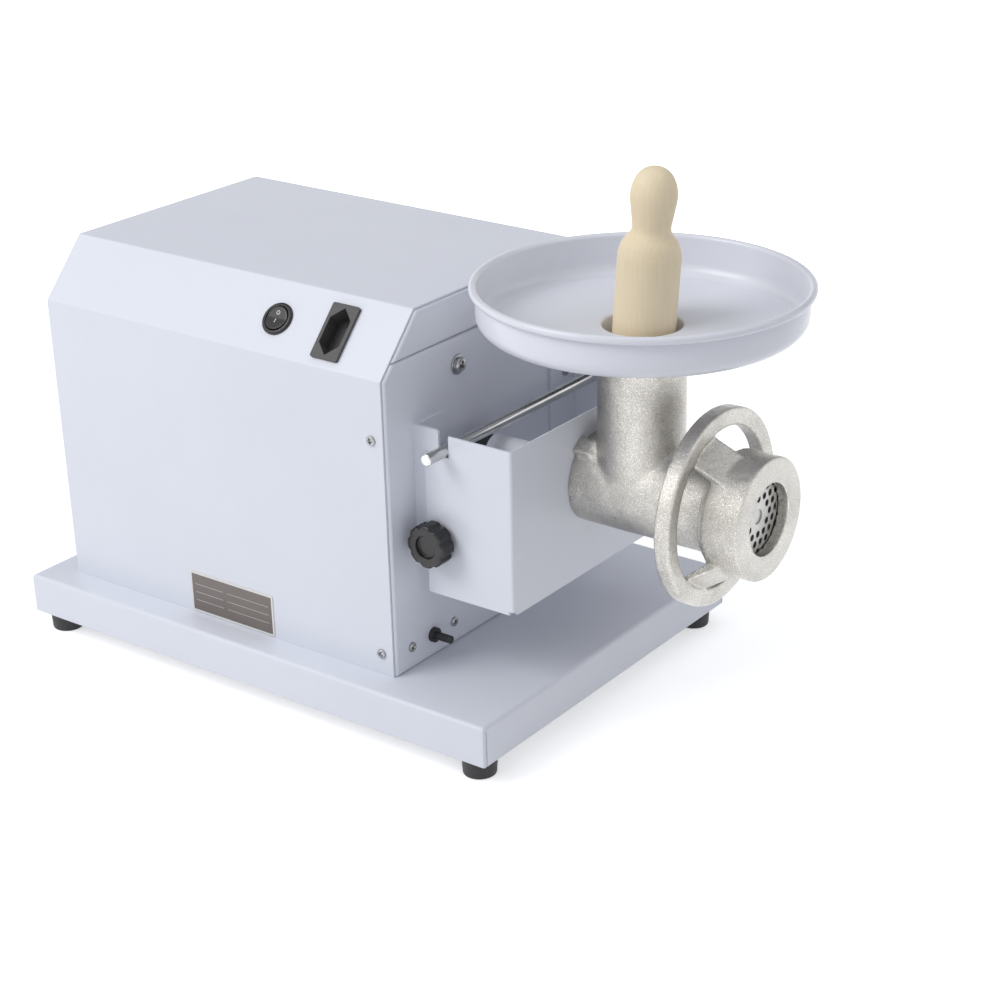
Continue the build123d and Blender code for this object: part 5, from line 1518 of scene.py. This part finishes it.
@dataclass
class Switch(Assembly):
    """Round rocker switch on the sloped sheet, with its bezel and marks."""

    slope_run: float = 36.3 * MM
    slope_rise: float = 39.0 * MM
    barrel: float = 9.9 * MM
    barrel_length: float = 18.0 * MM
    bezel: float = 11.6 * MM
    bezel_height: float = 2.0 * MM
    rocker: float = 8.4 * MM
    rocker_height: float = 2.6 * MM
    skirt: float = 1.6 * MM
    well_gap: float = 0.6 * MM
    well_depth: float = 4.4 * MM
    dish_depth: float = 0.8 * MM
    dish_rise: float = 1.4 * MM
    mark_thickness: float = 0.06 * MM
    circle: float = 1.45 * MM
    circle_place: float = 0.45
    bar_half: Point = (0.28 * MM, 1.4 * MM)
    bar_place: float = -0.24

    def build(self) -> None:
        """Make the bezel, the dished rocker and its two marks."""
        span = math.hypot(self.slope_run, self.slope_rise)
        up = Vector((0, self.slope_run, self.slope_rise)) / span
        out = Vector((0, -self.slope_rise, self.slope_run)) / span
        centre = Vector(self.shop.joint("rocker_tilt")["pos_m"]) + out * MM
        turn = Matrix((Vector((1, 0, 0)), up, out)).transposed().to_4x4()
        seat = Matrix.Translation(centre) @ turn
        mesh = facing(turned("switch_bezel_turned", self.housing(), 96), centre, out)
        self.shop.hand_in(
            "round_switch_bezel", mesh, Slot.GLOSS_BLACK, "machine", "switch_bezel"
        )
        mesh = turned("rocker_turned", self.rocker_rings(), 96)
        for vertex in mesh.vertices:
            if vertex.co.z > 0:
                vertex.co.z += self.dish(vertex.co.y)
        mesh.transform(seat)
        self.shop.hand_in(
            "dished_rocker", mesh, Slot.GLOSS_BLACK, "switch_rocker", "switch_rocker"
        )
        half, tall = self.bar_half
        ring = arc((0, 0), self.circle, 0, 360, 28)[:-1]
        bar = [(-half, -tall), (half, -tall), (half, tall), (-half, tall)]
        mesh = joined(
            "rocker_marks",
            [
                self.mark(ring, self.rocker * self.circle_place, hollow=True),
                self.mark(bar, self.rocker * self.bar_place, hollow=False),
            ],
        )
        mesh.transform(seat)
        finish = self.shop.finishes["mark"]
        self.shop.hand_in(
            "rocker_marks", cleaned(mesh), Slot.NYLON, "switch_rocker", finish=finish
        )

    def housing(self) -> Profile:
        """Half section of the bezel, its barrel and the rocker's well."""
        well, seat = self.rocker + self.well_gap, 0.02 * MM
        return [(0.0, -self.barrel_length)] + eased(
            [
                (self.barrel, -self.barrel_length, 0),
                (self.barrel, seat, 0),
                (self.bezel, seat, 0.2 * MM),
                (self.bezel, self.bezel_height * 0.55, 0.7 * MM),
                (self.bezel - 1.1 * MM, self.bezel_height, 0.6 * MM),
                (well, self.bezel_height, 0.3 * MM),
                (well, -self.well_depth, 0),
                (0, -self.well_depth, 0),
            ],
            5,
        )

    def rocker_rings(self) -> Profile:
        """Half section of the rocker before it is dished."""
        corners = [
            (self.rocker, -self.skirt, 0),
            (self.rocker, self.rocker_height, 0.5 * MM),
            (self.rocker * 0.8, self.rocker_height, 0),
        ]
        top = [(self.rocker * share, self.rocker_height) for share in (0.6, 0.4, 0.2, 0.0)]
        return [(0.0, -self.skirt)] + eased(corners, 4) + top

    def dish(self, across: float) -> float:
        """Height of the rocker's two sloping halves below its rim."""
        return -self.dish_depth + self.dish_rise * min(abs(across) / self.bezel, 1.0)

    def mark(self, outline: Profile, across: float, hollow: bool) -> Mesh:
        """One printed mark, lying on the rocker's surface.

        Args:
            outline: The mark's outer points.
            across: Its place up the rocker.
            hollow: Whether it is a ring and not a bar.

        Returns:
            The mark as a thin closed mesh.
        """
        work = bmesh.new()
        thick = self.mark_thickness

        def loop(share: float, rise: float) -> list[bmesh.types.BMVert]:
            """The outline at a share of its size, a little off the surface."""
            return [
                work.verts.new(
                    (x * share, across + y * share, self.surface(across + y * share) + rise)
                )
                for x, y in outline
            ]

        loops = [loop(1.0, -thick), loop(1.0, thick)]
        if hollow:
            loops += [loop(0.66, thick), loop(0.66, -thick), loops[0]]
        for first, second in zip(loops, loops[1:]):
            for step in range(len(outline)):
                after = (step + 1) % len(outline)
                work.faces.new((first[step], first[after], second[after], second[step]))
        if not hollow:
            work.faces.new(loops[1])
            work.faces.new(loops[0][::-1])
        return as_mesh(work, "mark")

    def surface(self, across: float) -> float:
        """Height of the rocker's dished top."""
        return self.rocker_height + self.dish(across)


@dataclass
class Feet(Assembly):
    """Moulded rubber feet."""

    top: float = 13.0 * MM
    bottom: float = 11.3 * MM
    hole: float = 2.6 * MM
    seat_depth: float = 5.0 * MM

    def build(self) -> None:
        """Mould one foot and copy it to each corner."""
        boxes = islands(self.shop.frame["nodes"]["rubber_feet"])
        height = boxes[0][1].z - boxes[0][0].z
        flange = self.top - 0.1 * MM
        profile = eased(
            [
                (self.hole, height, 0),
                (flange, height, 0.5 * MM),
                (flange, height - 2.2 * MM, 0.4 * MM),
                (self.top - 0.9 * MM, height - 2.8 * MM, 0.3 * MM),
                (self.bottom, 0, 1.4 * MM),
                (5.2 * MM, 0, 0.8 * MM),
                (4.6 * MM, height - self.seat_depth, 0.4 * MM),
                (self.hole, height - self.seat_depth, 0),
            ],
            5,
        )
        spots = []
        for low, high in boxes:
            spot = (low + high) / 2
            spot.z = low.z
            spots.append((spot, Heading.UP.vector))
        foot = turned("foot", profile, 72, closed=True)
        mesh = self.shop.spread("moulded_feet", foot, spots, Slot.RUBBER)
        self.shop.hand_in("moulded_feet", mesh, Slot.RUBBER, "machine", "rubber_feet")


@dataclass
class Studio:
    """Floor, lamps, world and camera."""

    position: Vector
    yaw: float = math.radians(34.94)
    pitch: float = math.radians(25.48)
    roll: float = math.radians(-0.44)
    lens: float = 78.82
    shift: Point = (-0.0770, 0.0804)
    clip: Point = (0.05, 60.0)
    floor_reach: float = 14.0
    floor_glow: float = 0.52
    floor_mirrored: float = 0.85
    surround: float = 0.55
    white_from: float = 0.55
    white_at: float = 1.15

    def build(self) -> None:
        """Set up everything that isn't the object."""
        self.camera()
        self.floor()
        self.flag()
        self.world()
        self.lamp("key", (-0.75, -1.35, 1.55), 1.1, 17.4)
        self.lamp("overhead", (0.1, 0.2, 1.9), 1.4, 2.6)
        self.lamp("rim_fill", (1.5, 1.5, 0.9), 1.2, 1.2)

    def camera(self) -> None:
        """Place the camera at its position and angles."""
        flat = math.cos(self.pitch)
        back = Vector(
            (math.sin(self.yaw) * flat, -math.cos(self.yaw) * flat, math.sin(self.pitch))
        )
        level = Vector((math.cos(self.yaw), math.sin(self.yaw), 0))
        rise = back.cross(level)
        right = level * math.cos(self.roll) + rise * math.sin(self.roll)
        data = bpy.data.cameras.new("camera")
        data.lens, (data.shift_x, data.shift_y) = self.lens, self.shift
        data.clip_start, data.clip_end = self.clip
        camera = link("camera", data)
        turn = Matrix((right, back.cross(right), back)).transposed().to_4x4()
        camera.matrix_world = Matrix.Translation(self.position) @ turn
        bpy.context.scene.camera = camera

    def sheet(self, name: str, outline: Sequence[Triple], surface: Surface) -> bpy.types.Object:
        """Stage a flat sheet with four corners."""
        mesh = bpy.data.meshes.new(name)
        mesh.from_pydata(outline, [], [(0, 1, 2, 3)])
        mesh.materials.append(surface.material)
        sheet = link(name, mesh)
        sheet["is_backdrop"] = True
        return sheet

    def floor(self) -> None:
        """A plain pale floor that keeps the object's shadow."""
        surface = Surface("pale_floor")
        ray = surface.add("ShaderNodeLightPath").outputs
        away = surface.vectors("LENGTH", surface.place)
        glow = surface.span(away, self.white_from, self.white_at, self.floor_glow, 1.0)
        direct = surface.times(ray["Is Camera Ray"], glow)
        mirrored = surface.times(ray["Is Glossy Ray"], self.floor_mirrored)
        surface.set(
            Base_Color=shade(242, 242, 243),
            Roughness=0.85,
            Specular_IOR_Level=0.1,
            Emission_Color=WHITE,
            Emission_Strength=surface.maths("ADD", direct, mirrored),
        )
        reach = self.floor_reach
        outline = [(-reach, -reach, 0), (reach, -reach, 0), (reach, reach, 0), (-reach, reach, 0)]
        self.sheet("floor", outline, surface)

    def flag(self) -> None:
        """A dark card high behind the object, that only reflections see."""
        surface = Surface("card_black")
        surface.set(Base_Color=shade(70, 70, 74), Roughness=0.9)
        outline = [(-3.6, 1.2, 0.9), (1.4, 2.6, 0.9), (1.4, 1.4, 3.0), (-3.6, 0.2, 3.0)]
        card = self.sheet("dark_card", outline, surface)
        card.visible_camera = card.visible_diffuse = card.visible_shadow = False

    def world(self) -> None:
        """A white surround that lights the object softly."""
        world = bpy.data.worlds.new("surround")
        bpy.context.scene.world = world
        world.use_nodes = True
        graph = Graph(world.node_tree)
        graph.tree.nodes.clear()
        ray = graph.add("ShaderNodeLightPath").outputs
        seen = graph.maths("MAXIMUM", ray["Is Camera Ray"], ray["Is Glossy Ray"])
        inputs = {"Color": graph.blend(seen, (0.94, 0.96, 1.0, 1.0), WHITE)}
        inputs["Strength"] = graph.ramp(seen, self.surround, 1.0)
        background = graph.add("ShaderNodeBackground", inputs)
        graph.add("ShaderNodeOutputWorld", {"Surface": background})

    def lamp(self, name: str, place: Triple, size: float, power: float) -> None:
        """Hang a square soft lamp that points at the object."""
        data = bpy.data.lights.new(name, "AREA")
        data.shape, data.size, data.energy = "SQUARE", size, power
        spot, aim = Vector(place), Vector((0.02, 0.0, 0.15))
        turn = (aim - spot).to_track_quat("-Z", "Y").to_matrix().to_4x4()
        link(name, data).matrix_world = Matrix.Translation(spot) @ turn


def corners() -> list[list[float]]:
    """The whole object's box as plain lists."""
    return [list(corner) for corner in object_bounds()]


def main() -> None:
    """Load the frame, dress it, build the finer pieces and set up the studio."""
    logging.basicConfig(level=logging.INFO, format="%(message)s")
    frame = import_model()
    bpy.context.scene.view_settings.view_transform = "Standard"
    Studio(Vector((0.89045, -1.1162, 0.7323))).build()
    shop = Workshop(frame)
    shop.dress(
        {
            "hang_rod": "rod",
            "outlet_body": "outlet",
            "stator_windings": "copper",
            "stator_core": "laminations",
            "rotor_core": "laminations",
            "capacitor": "can",
            "motor_shell": "grey_sheet",
            "motor_bell_front": "grey_sheet",
            "motor_bell_rear": "grey_sheet",
            "bearing_frame": "grey_sheet",
        }
    )
    for assembly in (FeedPan, Pusher, GrinderHead, Fasteners, Knob, Switch, Feet):
        assembly(shop).build()
        LOG.info("%s done", assembly.__name__)


if __name__ == "__main__":
    main()
